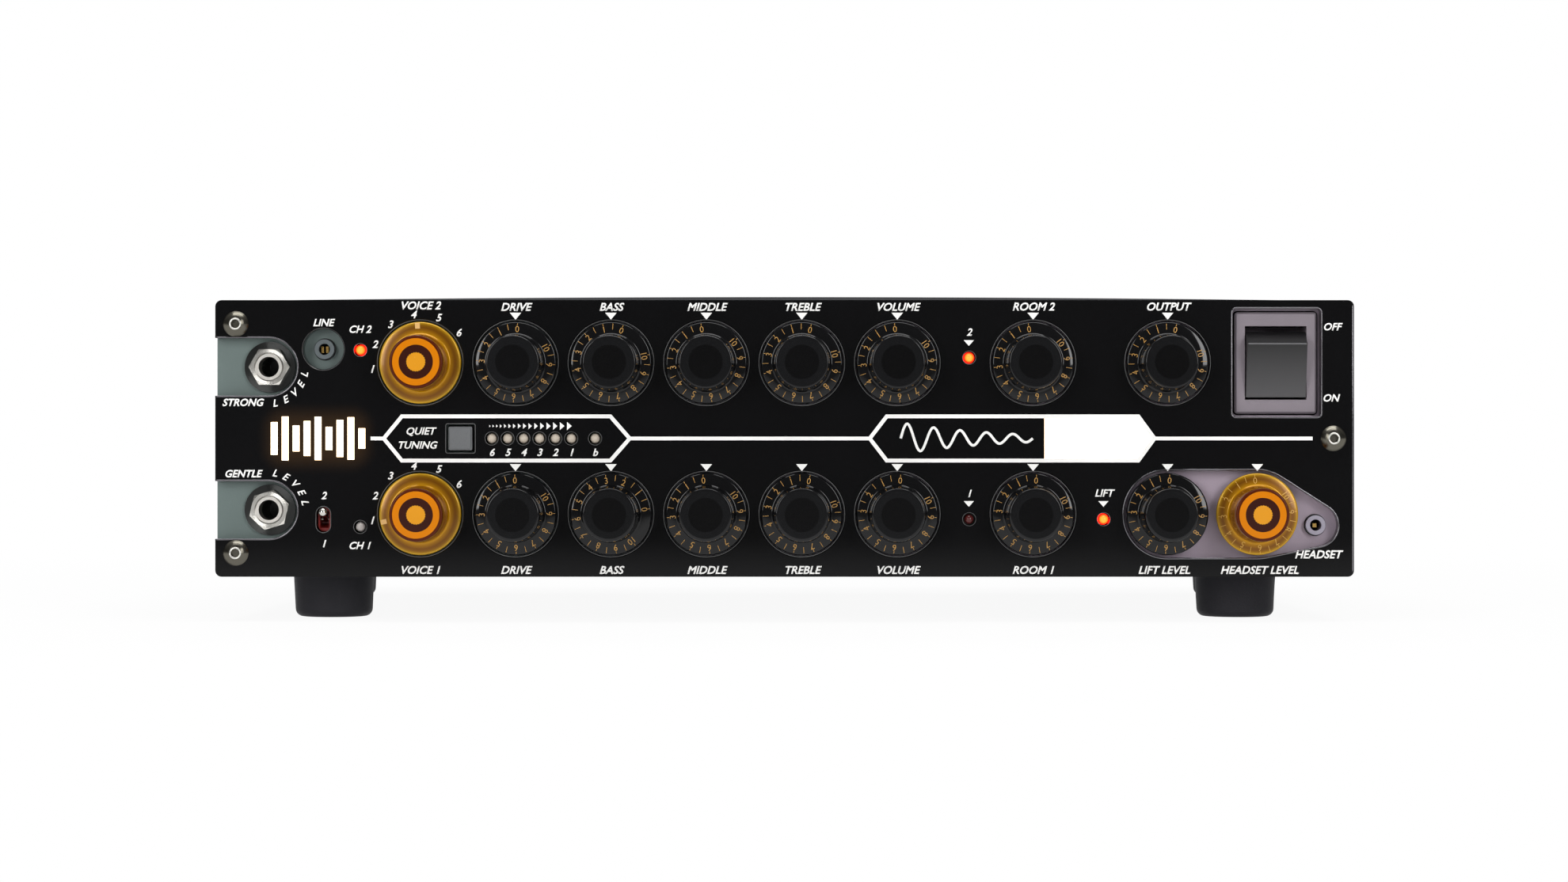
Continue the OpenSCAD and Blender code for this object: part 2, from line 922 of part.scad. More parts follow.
module power_board() {
    color("darkgreen")
        difference() {
            translate([power_x - power_w / 2, power_y, power_z])
                cube([power_w, power_d, board_t]);
            standoffs()
                rod(1.6, standoff_h - eps, standoff_h + board_t + eps);
        }
}

module standoffs() {
    for (x = [-power_w / 2 + 6, power_w / 2 - 6])
        for (y = [power_y + 6, power_y + power_d - 6])
            translate([power_x + x, y, base_z + sheet_t])
                children();
}

module board_standoffs() {
    color("gold")
        standoffs() {
            hex(6, 0, standoff_h);
            rod(1.5, standoff_h - 0.1, standoff_h + board_t);
            rod(2.8, standoff_h + board_t, standoff_h + board_t + 1.6);
        }
}

// Laminated core with two windows and the wound bobbin on its middle limb
module power_transformer() {
    color("sienna")
        translate([power_x + power_w / 2 - 38, power_y + 34, power_top]) {
            difference() {
                box(50, 34, 0, 40);
                for (x = [-15, 15])
                    translate([x, 0, 8])
                        box(10, 60, 0, 24);
            }
            difference() {
                box(29, 46, 8.5, 31.5);
                box(20, 34, 0, 40);
            }
            box(20.1, 34.1, 8.5, 31.5);
        }
}

module capacitors() {
    color("navy")
        for (i = [0:3])
            translate([power_x - 14 - i * 25, power_y + 22, power_top])
                rotate_extrude()
                    polygon(concat([[0, 0], [cap_d / 2, 0], [cap_d / 2, 28], [cap_d / 2 - 0.8, 28.8],
                        [cap_d / 2, 29.6]], arc([cap_d / 2 - 1, 33], 1, 0, 90, 4), [[0, 34]]));
}

module heat_sink() {
    wide = 70;
    long = 54;
    pitch = wide / fin_count;
    color("black")
        translate([power_x + power_w / 2 - 50, power_y + power_d - 34, power_top])
            difference() {
                box(wide, long, 0, 38);
                for (i = [0:fin_count - 1])
                    translate([pitch * (i + 0.5) - wide / 2, 0, 5])
                        box(pitch * 0.62, long + 2, 0, 40);
            }
}

// Flat cable with a plug on the control board and one on the power board
module ribbon_cable() {
    y0 = board_y + board_t;
    y1 = power_y + 5;
    z0 = power_top + 9;
    z1 = mid_z - 2;
    r = 4;
    t = 0.9;
    color("lightgray") {
        translate([power_x - 30, y0, z1 - 3])
            cube([30, 7, 6]);
        translate([power_x - 30, y1 - 3, power_top])
            cube([30, 6, 9]);
        translate([power_x - 28, 0, 0])
            rotate([90, 0, 90])
                linear_extrude(height = 26)
                    polygon(concat([[y0 + 6.9, z1 + t / 2]], arc([y1 - r, z1 - r], r + t / 2, 90, 0),
                        [[y1 + t / 2, z0 - 0.1], [y1 - t / 2, z0 - 0.1]],
                        arc([y1 - r, z1 - r], r - t / 2, 0, 90), [[y0 + 6.9, z1 - t / 2]]));
    }
}

// Fan frame with its bore, three struts and the post the rotor runs on
module fan_frame() {
    back = -sheet_t - fan_d;
    color("black")
        on_rear([fan_x, 0]) {
            difference() {
                bar(rounded(fan_side, fan_side, 3), back, -sheet_t);
                rod(28.2, back - eps, 0);
                fan_corners()
                    rod(2, back - eps, 0);
            }
            rod(12, back, back + 2.5);
            rod(2.5, back + 2, -sheet_t - 3);
            for (a = [0:120:240])
                rotate([0, 0, a])
                    translate([19.5, 0, 0])
                        box(19, 3, back, back + 2.5);
        }
}

module fan_rotor() {
    back = -sheet_t - fan_d;
    color("dimgray")
        on_rear([fan_x, 0])
            difference() {
                union() {
                    rod(12.2, back + 3, -sheet_t - 2.5);
                    for (i = [0:fan_blades - 1])
                        rotate([0, 0, 360 * i / fan_blades])
                            translate([19, 0, back + 7.7])
                                rotate([35, 0, 0])
                                    cube([15.5, 9.6, 1.4], center = true);
                }
                rod(2.5 + fit, back, -sheet_t - 2.8);
            }
}

// Stamped finger guard: rings on two crossed straps with an eye at each corner
module fan_guard() {
    color("silver")
        on_rear([fan_x, 0])
            difference() {
                union() {
                    for (r = [8, 15, 22, 29])
                        difference() {
                            rod(r, 0, 1.5);
                            rod(r - 2, -eps, 1.5 + eps);
                        }
                    for (a = [45, 135])
                        rotate([0, 0, a])
                            box(fan_pitch * sqrt(8), 2.4, 0, 1.5);
                    fan_corners()
                        rod(4.2, 0, 1.5);
                }
                fan_corners()
                    rod(1.9, -eps, 1.5 + eps);
            }
}

// Three-blade mains inlet with a cut-cornered recess
module mains_inlet() {
    recess = [[-12.2, -8.2], [12.2, -8.2], [12.2, 3.5], [7.5, 8.2], [-7.5, 8.2], [-12.2, 3.5]];
    color("black")
        on_rear([inlet_x, inlet_z])
            difference() {
                union() {
                    bar(rounded(50, 23, 3), 0, 2.5);
                    box(27.6, 20.2, -sheet_t - 18, 0.1);
                }
                bar(recess, -14, 3);
                for (x = [-20, 20])
                    translate([x, 0, 0])
                        rod(1.6, -eps, 3);
                for (at = [[-7, -2], [7, -2], [0, 2]])
                    translate([at[0], at[1], 0])
                        box(2 + 2 * fit, 4 + 2 * fit, -40, 0);
            }
}

module inlet_blades() {
    color("silver")
        on_rear([inlet_x, inlet_z])
            for (at = [[-7, -2], [7, -2], [0, 2]])
                translate([at[0], at[1], 0])
                    box(2, 4, -sheet_t - 26, -4);
}

// Balanced line output: flange, barrel and a deep round recess
module line_out_shell() {
    color("black")
        on_rear([xlr_x, xlr_z])
            difference() {
                union() {
                    bar(rounded(26, 31, 3), 0, 2.5);
                    rod(11, -sheet_t - 18, 0.1);
                }
                rod(8, -12, 3);
                xlr_corners()
                    rod(1.6, -eps, 3);
                xlr_pins()
                    rod(1.2 + fit, -40, 0);
            }
}

module xlr_pins() {
    for (a = [-40, 180, 40])
        rotate([0, 0, a])
            translate([0, 4.3, 0])
                children();
}

module line_out_pins() {
    color("gold")
        on_rear([xlr_x, xlr_z])
            xlr_pins()
                rod(1.2, -sheet_t - 23, -4.5);
}

module rear_screws() {
    color("silver") {
        on_rear([inlet_x, inlet_z], 2.5)
            for (x = [-20, 20])
                translate([x, 0, 0])
                    screw(2.8, 1.4, 1.5, 8, 1.5);
        on_rear([xlr_x, xlr_z], 2.5)
            xlr_corners()
                screw(2.8, 1.4, 1.5, 8, 1.5);
        on_rear([fan_x, 0], 1.5)
            fan_corners()
                screw(3.4, 2, 1.8, 18, 2);
    }
}

chassis();
front_wall();
rear_wall();
top_cover();
cover_screws();
front_panel();
panel_lenses();
backlight_boards();
panel_screws();
feet();
foot_screws();
potentiometers();
selector_switches();
pot_nuts();
input_jacks();
jack_washers();
jack_nuts();
mini_jacks();
lit_leds();
unlit_leds();
tuner_leds();
rocker_housing();
rocker_paddle();
tuner_button();
tuner_switch();
toggle_switch();
toggle_lever();
preamp_board();
power_board();
board_standoffs();
power_transformer();
capacitors();
heat_sink();
ribbon_cable();
fan_frame();
fan_rotor();
fan_guard();
mains_inlet();
inlet_blades();
line_out_shell();
line_out_pins();
rear_jacks();
rear_screws();
upper_knob(0);  // selector_knob_2
upper_knob(1);  // gain_knob_2
upper_knob(2);  // bass_knob_2
upper_knob(3);  // middle_knob_2
upper_knob(4);  // treble_knob_2
upper_knob(5);  // level_knob_2
upper_knob(6);  // reverb_knob_2
upper_knob(7);  // master_knob
lower_knob(0);  // selector_knob_1
lower_knob(1);  // gain_knob_1
lower_knob(2);  // bass_knob_1
lower_knob(3);  // middle_knob_1
lower_knob(4);  // treble_knob_1
lower_knob(5);  // level_knob_1
lower_knob(6);  // reverb_knob_1
lower_knob(7);  // boost_knob
lower_knob(8);  // phones_knob
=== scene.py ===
import math

import bpy
from mathutils import Matrix, Vector


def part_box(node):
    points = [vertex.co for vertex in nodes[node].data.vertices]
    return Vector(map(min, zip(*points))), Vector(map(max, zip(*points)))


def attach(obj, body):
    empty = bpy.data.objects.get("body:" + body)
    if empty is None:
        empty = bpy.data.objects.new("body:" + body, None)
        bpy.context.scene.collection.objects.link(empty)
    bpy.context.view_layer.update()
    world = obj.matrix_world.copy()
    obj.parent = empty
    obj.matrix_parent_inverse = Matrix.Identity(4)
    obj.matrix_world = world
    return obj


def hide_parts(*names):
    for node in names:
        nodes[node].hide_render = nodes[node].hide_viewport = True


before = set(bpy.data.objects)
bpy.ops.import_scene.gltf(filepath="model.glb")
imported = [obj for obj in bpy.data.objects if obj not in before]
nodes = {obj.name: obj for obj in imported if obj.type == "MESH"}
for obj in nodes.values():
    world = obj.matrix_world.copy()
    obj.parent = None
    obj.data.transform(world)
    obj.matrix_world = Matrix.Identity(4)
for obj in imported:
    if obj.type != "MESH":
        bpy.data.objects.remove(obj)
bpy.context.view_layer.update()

# The studio: a plain pale floor and soft light from both sides and above, with the camera straight
# in front of the panel. Nothing here belongs to the amp.
MM = 0.001
SENSOR = 36
CAMERA_AWAY = 1.25
VIEW_WIDTH = 0.4929
CAMERA_LEFT, CAMERA_DOWN = 0.0002, 0.0008
SOFTBOXES = (("light_left", (-0.74, -1.3, 0.42), (0, -0.1, 0.06), (0.35, 0.7), 6.6),
             ("light_right", (0.74, -1.3, 0.42), (0, -0.1, 0.06), (0.35, 0.7), 6.6),
             ("light_top", (0, -0.35, 1.25), (0, -0.05, 0.05), (1.2, 0.5), 10),
             ("light_rear", (0, 1.3, 1.1), (0, 0.1, 0.05), (1.4, 0.6), 11))
AMBIENT, DARK_SIDE = 0.26, 0.12
SKY_FROM, SKY_TO = -0.6, 0.5
FLOOR_SIZE, FLOOR_DROP = 24, 0.0002
FLOOR_DIM_FROM, FLOOR_DIM_TO, FLOOR_DIM = -1.1, -0.35, 0.16
SHADOW_NEAR, SHADOW_FAR, SHADOW_SHARE = 0.25, 0.7, 0.93

panel_low, panel_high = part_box("front_panel")
face_y = panel_low.y
back_y = panel_high.y
mid_z = (panel_low.z + panel_high.z) / 2

bpy.context.scene.view_settings.view_transform = "Standard"
bpy.ops.object.select_all(action="DESELECT")
bpy.ops.object.camera_add(location=(-CAMERA_LEFT, face_y - CAMERA_AWAY, mid_z - CAMERA_DOWN),
                          rotation=(math.pi / 2, 0, 0))
camera = bpy.context.object
camera.data.sensor_width = SENSOR
camera.data.lens = SENSOR * CAMERA_AWAY / VIEW_WIDTH
camera.data.clip_end = 100
bpy.context.scene.camera = camera

for name, place, aim, size, watts in SOFTBOXES:
    bpy.ops.object.light_add(type="AREA", location=place)
    softbox = bpy.context.object
    softbox.name = name
    softbox.rotation_euler = (Vector(aim) - Vector(place)).to_track_quat("-Z", "Y").to_euler()
    softbox.data.shape = "RECTANGLE"
    softbox.data.size, softbox.data.size_y = size
    softbox.data.energy = watts


def feed(tree, socket, given):
    if isinstance(given, bpy.types.NodeSocket):
        tree.links.new(given, socket)
    else:
        socket.default_value = given


def add_node(tree, kind, inputs, output):
    made = tree.nodes.new(kind)
    for name, given in inputs.items():
        feed(tree, made.inputs[name], given)
    return made.outputs[output]


def calculate(tree, operation, first, second=0.0):
    made = tree.nodes.new("ShaderNodeMath")
    made.operation = operation
    feed(tree, made.inputs[0], first)
    feed(tree, made.inputs[1], second)
    return made.outputs[0]


def vector_step(tree, operation, first, second=(0, 0, 0)):
    made = tree.nodes.new("ShaderNodeVectorMath")
    made.operation = operation
    feed(tree, made.inputs[0], first)
    feed(tree, made.inputs[1], second)
    return made.outputs["Value" if operation == "LENGTH" else "Vector"]


def grade(tree, value, low, high, start=0.0, end=1.0):
    return add_node(tree, "ShaderNodeMapRange", {"Value": value, "From Min": low, "From Max": high,
                                                 "To Min": start, "To Max": end}, "Result")


def axis(tree, letter, kind="Object"):
    place = add_node(tree, "ShaderNodeTexCoord", {}, kind)
    return add_node(tree, "ShaderNodeSeparateXYZ", {0: place}, letter)


world = bpy.data.worlds.new("studio")
bpy.context.scene.world = world
world.use_nodes = True
tree = world.node_tree
ray = tree.nodes.new("ShaderNodeLightPath").outputs
behind = grade(tree, axis(tree, "Y", "Generated"), SKY_FROM, SKY_TO, DARK_SIDE, 1.0)
aside = axis(tree, "X", "Generated")
dark_sides = grade(tree, calculate(tree, "MULTIPLY", aside, aside), 0, 1, 1.0, DARK_SIDE)
around = calculate(tree, "MULTIPLY", behind, dark_sides)
mirrored = calculate(tree, "MAXIMUM", ray["Is Glossy Ray"], ray["Is Transmission Ray"])
level = add_node(tree, "ShaderNodeMix", {"Factor": mirrored, "A": AMBIENT, "B": around}, "Result")
shown = add_node(tree, "ShaderNodeMix", {"Factor": ray["Is Camera Ray"], "A": level, "B": 1.0}, "Result")
background = tree.nodes["Background"].inputs
feed(tree, background["Color"], (1, 1, 1, 1))
feed(tree, background["Strength"], shown)

bpy.ops.object.select_all(action="DESELECT")
bpy.ops.mesh.primitive_plane_add(size=FLOOR_SIZE, location=(0, 0, -FLOOR_DROP))
floor = bpy.context.object
floor.name = "studio_floor"
paper = bpy.data.materials.new("white_paper")
paper.use_nodes = True
tree = paper.node_tree
sheet = tree.nodes["Principled BSDF"]
feed(tree, sheet.inputs["Base Color"], (0.86, 0.86, 0.86, 1))
feed(tree, sheet.inputs["Roughness"], 0.9)
feed(tree, sheet.inputs["Specular IOR Level"], 0.0)
ray = tree.nodes.new("ShaderNodeLightPath").outputs
before_amp = grade(tree, axis(tree, "Y"), FLOOR_DIM_FROM, FLOOR_DIM_TO, FLOOR_DIM, 1.0)
bright = calculate(tree, "MAXIMUM", ray["Is Camera Ray"], before_amp)
glow = add_node(tree, "ShaderNodeEmission", {"Strength": bright}, 0)
seen = calculate(tree, "MAXIMUM", ray["Is Camera Ray"], ray["Is Glossy Ray"])
seen = calculate(tree, "MAXIMUM", seen, ray["Is Transmission Ray"])
away = vector_step(tree, "LENGTH", add_node(tree, "ShaderNodeTexCoord", {}, "Object"))
fade = grade(tree, away, SHADOW_NEAR, SHADOW_FAR, SHADOW_SHARE, 1.0)
share = calculate(tree, "MULTIPLY", seen, fade)
paper_look = add_node(tree, "ShaderNodeMixShader", {"Fac": share, 1: sheet.outputs[0], 2: glow}, 0)
feed(tree, tree.nodes["Material Output"].inputs["Surface"], paper_look)
floor.data.materials.append(paper)


# The chassis is a tray of 1.5 mm steel between two steel walls, all in satin grey paint; towards the right
# the front wall is painted a paler mauve grey, a painted highlight for the stronger light there. The cover is
# a crowned inverted U of thinner sheet in dark textured paint, held by three black screws a side.
def shade(value):
    return value / 12.92 if value <= 0.04045 else ((value + 0.055) / 1.055) ** 2.4


def tint(red, green, blue):
    return (shade(red / 255), shade(green / 255), shade(blue / 255), 1)


def blend_colours(tree, factor, first, second, way="MIX"):
    made = tree.nodes.new("ShaderNodeMix")
    made.data_type = "RGBA"
    made.blend_type = way
    for name, given in (("Factor", factor), ("A", first), ("B", second)):
        feed(tree, made.inputs[name], given)
    return made.outputs["Result"]


def finish(name, colour, rough, metal=0.0, specular=0.5, grain=400.0, bump=0.0, mottle=0.12, coat=0.0):
    made = bpy.data.materials.new(name)
    made.use_nodes = True
    tree = made.node_tree
    shader = tree.nodes["Principled BSDF"].inputs
    for socket, value in (("Metallic", metal), ("Specular IOR Level", specular), ("Coat Weight", coat),
                          ("Coat Roughness", 0.04)):
        feed(tree, shader[socket], value)
    place = add_node(tree, "ShaderNodeTexCoord", {}, "Object")
    cloud = add_node(tree, "ShaderNodeTexNoise", {"Vector": place, "Scale": 26, "Detail": 5}, "Fac")
    darker = [part * (1 - mottle) for part in colour[:3]] + [1]
    lighter = [min(1, part * (1 + mottle)) for part in colour[:3]] + [1]
    feed(tree, shader["Base Color"], blend_colours(tree, cloud, darker, lighter))
    fine = add_node(tree, "ShaderNodeTexNoise", {"Vector": place, "Scale": grain, "Detail": 4}, "Fac")
    spread = grade(tree, fine, 0, 1, max(0.0, rough * 0.8), min(1.0, rough * 1.2))
    feed(tree, shader["Roughness"], spread)
    if bump:
        grainy = {"Strength": 0.6, "Distance": bump, "Height": fine}
        feed(tree, shader["Normal"], add_node(tree, "ShaderNodeBump", grainy, "Normal"))
    return made


def second_colour(made, factor, colour, way="MIX"):
    tree = made.node_tree
    base = tree.nodes["Principled BSDF"].inputs["Base Color"]
    feed(tree, base, blend_colours(tree, factor, base.links[0].from_socket, colour, way))


def dress(made, *names):
    for name in names:
        nodes[name].data.materials.clear()
        nodes[name].data.materials.append(made)


PAINTED_LIGHT_FROM, PAINTED_LIGHT_TO, FRONT_WALL_DEPTH = -0.12, 0.12, 0.01
grey_paint = finish("grey_case_paint", tint(97, 112, 109), 0.5, grain=2200, bump=0.00006)
tree = grey_paint.node_tree
# Painted light: the front wall turns paler and mauve towards the right.
painted_light_right = grade(tree, axis(tree, "X"), PAINTED_LIGHT_FROM, PAINTED_LIGHT_TO)
front_wall = grade(tree, axis(tree, "Y"), back_y + FRONT_WALL_DEPTH, back_y)
second_colour(grey_paint, calculate(tree, "MULTIPLY", painted_light_right, front_wall), tint(172, 157, 172))
cover_paint = finish("textured_cover_paint", tint(60, 61, 64), 0.55, grain=1400, bump=0.00012)
black_oxide = finish("black_oxide_steel", tint(38, 38, 40), 0.32, metal=0.7, grain=1500, bump=0.00002)
dress(grey_paint, "chassis", "front_wall", "rear_wall")
dress(cover_paint, "top_cover")
dress(black_oxide, "cover_screws")

# The feet are pads of moulded black rubber with a fine grain, each drawn up against the tray
# by a zinc plated screw through its middle.
foot_rubber = finish("moulded_rubber", tint(55, 54, 58), 0.5, specular=0.06, grain=1600, bump=0.00006,
                     mottle=0.2)
zinc = finish("zinc_plated_steel", tint(190, 191, 194), 0.3, metal=1.0, grain=1200, bump=0.00001)
dress(foot_rubber, "feet")
dress(zinc, "foot_screws")

# The front panel is cast acrylic 5 mm thick, black all through and polished, cut out for every control
# and held by three plated button head screws; a bright metal ring round each socket is a painted highlight.
# The acrylic round the lit badge glows warm by itself, a painted glow.
BADGE_X = -146.9
BADGE_CORE = (0.0105, 1, 0.003)
HALO_REACH, HALO_LEVEL = 0.0095, 0.03
PANEL_SCREWS = ((-172.5, 36.0), (-172.5, -36.0), (172.5, 0))
SOCKET_R, RIM_R, SCREW_PROUD = 1.62, 0.3, 1.9
acrylic = finish("polished_black_acrylic", (0.0042, 0.0042, 0.0046, 1), 0.05, specular=0.2, grain=220,
                 mottle=0.25)
tree = acrylic.node_tree
shader = tree.nodes["Principled BSDF"].inputs
# Painted glow: the acrylic emits warm light that fades with distance from the lit badge.
place = add_node(tree, "ShaderNodeTexCoord", {}, "Object")
from_badge = vector_step(tree, "SUBTRACT", place, (BADGE_X * MM, 0, mid_z))
past_core = vector_step(tree, "SUBTRACT", vector_step(tree, "ABSOLUTE", from_badge), BADGE_CORE)
gap = vector_step(tree, "LENGTH", vector_step(tree, "MAXIMUM", past_core))
painted_halo = grade(tree, gap, 0, HALO_REACH, HALO_LEVEL, 0)
painted_halo.node.interpolation_type = "SMOOTHERSTEP"
feed(tree, shader["Emission Color"], (1, 0.5, 0.16, 1))
feed(tree, shader["Emission Strength"], painted_halo)
screw_steel = finish("dark_screw_steel", tint(104, 101, 92), 0.24, metal=1.0, grain=1800, bump=0.00001)
dress(acrylic, "front_panel")
dress(screw_steel, "panel_screws")


def settle():
    bpy.ops.object.transform_apply(location=True, rotation=True, scale=True)


def select_only(*pieces):
    bpy.ops.object.select_all(action="DESELECT")
    for piece in pieces:
        piece.select_set(True)
    bpy.context.view_layer.objects.active = pieces[0]


def join(pieces):
    select_only(*pieces)
    bpy.ops.object.join()
    return bpy.context.object


def placed_copy(piece, matrix):
    made = piece.copy()
    made.data = piece.data.copy()
    bpy.context.collection.objects.link(made)
    select_only(made)
    made.matrix_world = matrix
    settle()
    return made


# Painted highlights: a bright metal ring round each screw's socket.
bpy.ops.object.select_all(action="DESELECT")
bpy.ops.mesh.primitive_torus_add(major_segments=40, minor_segments=10, major_radius=SOCKET_R * MM,
                                 minor_radius=RIM_R * MM)
one_rim = bpy.context.object
bpy.ops.object.shade_smooth()
upright = Matrix.Rotation(math.pi / 2, 4, "X")
rim = join([placed_copy(one_rim, Matrix.Translation((across * MM, face_y - SCREW_PROUD * MM, mid_z + up * MM))
                        @ upright) for across, up in PANEL_SCREWS])
bpy.data.objects.remove(one_rim)
rim.name = "screw_socket_highlights"
rim.data.materials.append(finish("screw_socket_highlight", tint(232, 230, 224), 0.3, metal=1.0, grain=1800,
                                 bump=0.00001))
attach(rim, "case")

# The sawn edges of the acrylic are flame polished to a small round down the panel's right side and about the
# jack slots, the recess at the lower right and the rocker; the round is given a pale metallic grey, a painted
# highlight that draws a thin bright line.
ROW = 23.8
MASTER, PHONES, ROCKER = 120.4, 148.6, 154.7
JACK_X, JACK_Z = -162.3, 22.5
PHONES_JACK = (167.3, -27.3)
RECESS_R, RECESS_TIP_R, SLOT_R = 13.8, 6.7, 9.3
SLOT_MOUTH = -178.6
OPENING_W, OPENING_H, OPENING_R = 27.9, 34.1, 1.2
EDGE_OUT, EDGE_R, EDGE_DEPTH = 0.2, 0.3, 0.22
CORNER_X, CORNER_Z, CORNER_R = 176.8, 41.3, 1.8
EDGE_TAPER = [0.1, 0.3, 0.5, 0.7, 0.85]


def arc_points(across, up, radius, start, end, count):
    turns = [math.radians(start + (end - start) * i / count) for i in range(count + 1)]
    return [(across + radius * math.cos(turn), up + radius * math.sin(turn)) for turn in turns]


def round_box(across, up, wide, high, radius):
    points = []
    for side, level, start in ((1, 1, 0), (-1, 1, 90), (-1, -1, 180), (1, -1, 270)):
        points += arc_points(across + side * (wide / 2 - radius), up + level * (high / 2 - radius),
                             radius, start, start + 90, 5)
    return points


def line_on_panel(points, depth, weight=1.0, closed=True):
    places = [(across * MM, face_y + depth * MM, mid_z + up * MM) for across, up in points]
    return places, [weight] * len(places), closed


def tube(lines, radius, steps):
    bpy.ops.object.select_all(action="DESELECT")
    bpy.ops.curve.primitive_nurbs_path_add()
    curve = bpy.context.object
    curve.data.splines.clear()
    for places, weights, closed in lines:
        line = curve.data.splines.new("POLY")
        line.points.add(len(places) - 1)
        line.use_cyclic_u = closed
        for point, place, weight in zip(line.points, places, weights):
            point.co = (*place, 1)
            point.radius = weight
    curve.data.bevel_depth = radius * MM
    curve.data.bevel_resolution = steps
    curve.data.use_fill_caps = True
    bpy.ops.object.convert(target="MESH")
    return bpy.context.object


run, drop = PHONES_JACK[0] - PHONES, PHONES_JACK[1] + ROW
lean = math.degrees(math.atan2(drop, run))
wide_open = math.degrees(math.acos((RECESS_R - RECESS_TIP_R) / math.hypot(run, drop)))
outer_r, tip_r = RECESS_R + EDGE_OUT, RECESS_TIP_R + EDGE_OUT
recess_edge = (arc_points(MASTER, -ROW, outer_r, 90, 270, 40)
               + arc_points(PHONES, -ROW, outer_r, 270, 360 + lean - wide_open, 4)
               + arc_points(*PHONES_JACK, tip_r, lean - wide_open, lean + wide_open, 24)
               + arc_points(PHONES, -ROW, outer_r, lean + wide_open, 90, 8))
rocker_edge = round_box(ROCKER, ROW, OPENING_W + 2 * EDGE_OUT, OPENING_H + 2 * EDGE_OUT, OPENING_R + EDGE_OUT)
edge_lines = [line_on_panel(recess_edge, EDGE_DEPTH), line_on_panel(rocker_edge, EDGE_DEPTH)]
for up in (JACK_Z, -JACK_Z):
    slot_edge = ([(SLOT_MOUTH, up - SLOT_R)] + arc_points(JACK_X, up, SLOT_R, -90, 90, 24)
                 + [(SLOT_MOUTH, up + SLOT_R)])
    edge_lines.append(line_on_panel(slot_edge, EDGE_DEPTH, closed=False))
right_edge = (arc_points(CORNER_X, CORNER_Z, CORNER_R, 70, 0, 5)
              + arc_points(CORNER_X, -CORNER_Z, CORNER_R, 0, -70, 5))
right_places = line_on_panel(right_edge, EDGE_DEPTH)[0]
edge_lines.append((right_places, EDGE_TAPER + [1, 1] + EDGE_TAPER[::-1], False))
edges = tube(edge_lines, EDGE_R, 2)
edges.name = "panel_edge_highlights"
bpy.ops.object.shade_smooth()
# Painted highlight: the edge rounds are pale metallic grey on the black acrylic.
edges.data.materials.append(finish("edge_highlight_paint", tint(118, 116, 120), 0.14, metal=0.9, grain=220,
                                   mottle=0.25))
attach(edges, "case")

# The round and square holes are cut by a router and left as cut, so each shows as a thin dull grey ring:
# the knobs' holes, the lamps' holes, the toggle's slot, the tuner button's hole and the line jack's.
SELECTOR, REVERB = -114.6, 78.1
TONES = [-84.6, -54.6, -24.6, 5.4, 35.4]
LAMPS = [(-133.4, 27.8), (58.0, 25.4), (100.3, -25.4), (-133.4, -27.8), (58.0, -25.4)]
TUNER_LAMPS = [-92.1, -87.1, -82.1, -77.1, -72.1, -67.1, -59.6]
AUX_JACK = (-145.0, 28.1)
TOGGLE_X, TOGGLE_TOP, TOGGLE_LOW, TOGGLE_R = -145.0, -23.7, -27.3, 2.34
BUTTON_X, BUTTON_HOLE, BUTTON_CORNER = -101.9, 9.3, 0.65
KNOB_HOLE_R, LAMP_HOLE_R, AUX_HOLE_R, CUT_R = 13.5, 2.12, 6.7, 0.16
KNOB_CUT_DEPTH, LAMP_CUT_DEPTH, SMALL_CUT_DEPTH, AUX_CUT_DEPTH = 0.36, 0.1, 0.05, 0.2
LAMP_CUT_SHARE, SMALL_CUT_SHARE = 0.7, 0.8


def ring_points(across, up, radius, count):
    return arc_points(across, up, radius, 0, 360, count)[:-1]


knob_holes = [(across, ROW) for across in [SELECTOR] + TONES + [REVERB, MASTER]]
knob_holes += [(across, -ROW) for across in [SELECTOR] + TONES + [REVERB]]
lamp_holes = LAMPS + [(across, 0) for across in TUNER_LAMPS]
toggle_slot = (arc_points(TOGGLE_X, TOGGLE_TOP, TOGGLE_R, 0, 180, 12)
               + arc_points(TOGGLE_X, TOGGLE_LOW, TOGGLE_R, 180, 360, 12))
button_hole = round_box(BUTTON_X, 0, BUTTON_HOLE, BUTTON_HOLE, BUTTON_CORNER)
cut_lines = [line_on_panel(ring_points(*hole, KNOB_HOLE_R, 72), KNOB_CUT_DEPTH) for hole in knob_holes]
cut_lines += [line_on_panel(ring_points(*hole, LAMP_HOLE_R, 32), LAMP_CUT_DEPTH, LAMP_CUT_SHARE)
              for hole in lamp_holes]
cut_lines += [line_on_panel(toggle_slot, SMALL_CUT_DEPTH, SMALL_CUT_SHARE),
              line_on_panel(button_hole, SMALL_CUT_DEPTH, SMALL_CUT_SHARE),
              line_on_panel(ring_points(*AUX_JACK, AUX_HOLE_R, 48), AUX_CUT_DEPTH, SMALL_CUT_SHARE)]
rings = tube(cut_lines, CUT_R, 1)
rings.name = "hole_edges"
bpy.ops.object.shade_smooth()
rings.data.materials.append(finish("cut_acrylic_edge", tint(88, 88, 88), 0.3, grain=900, mottle=0.5))
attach(rings, "case")

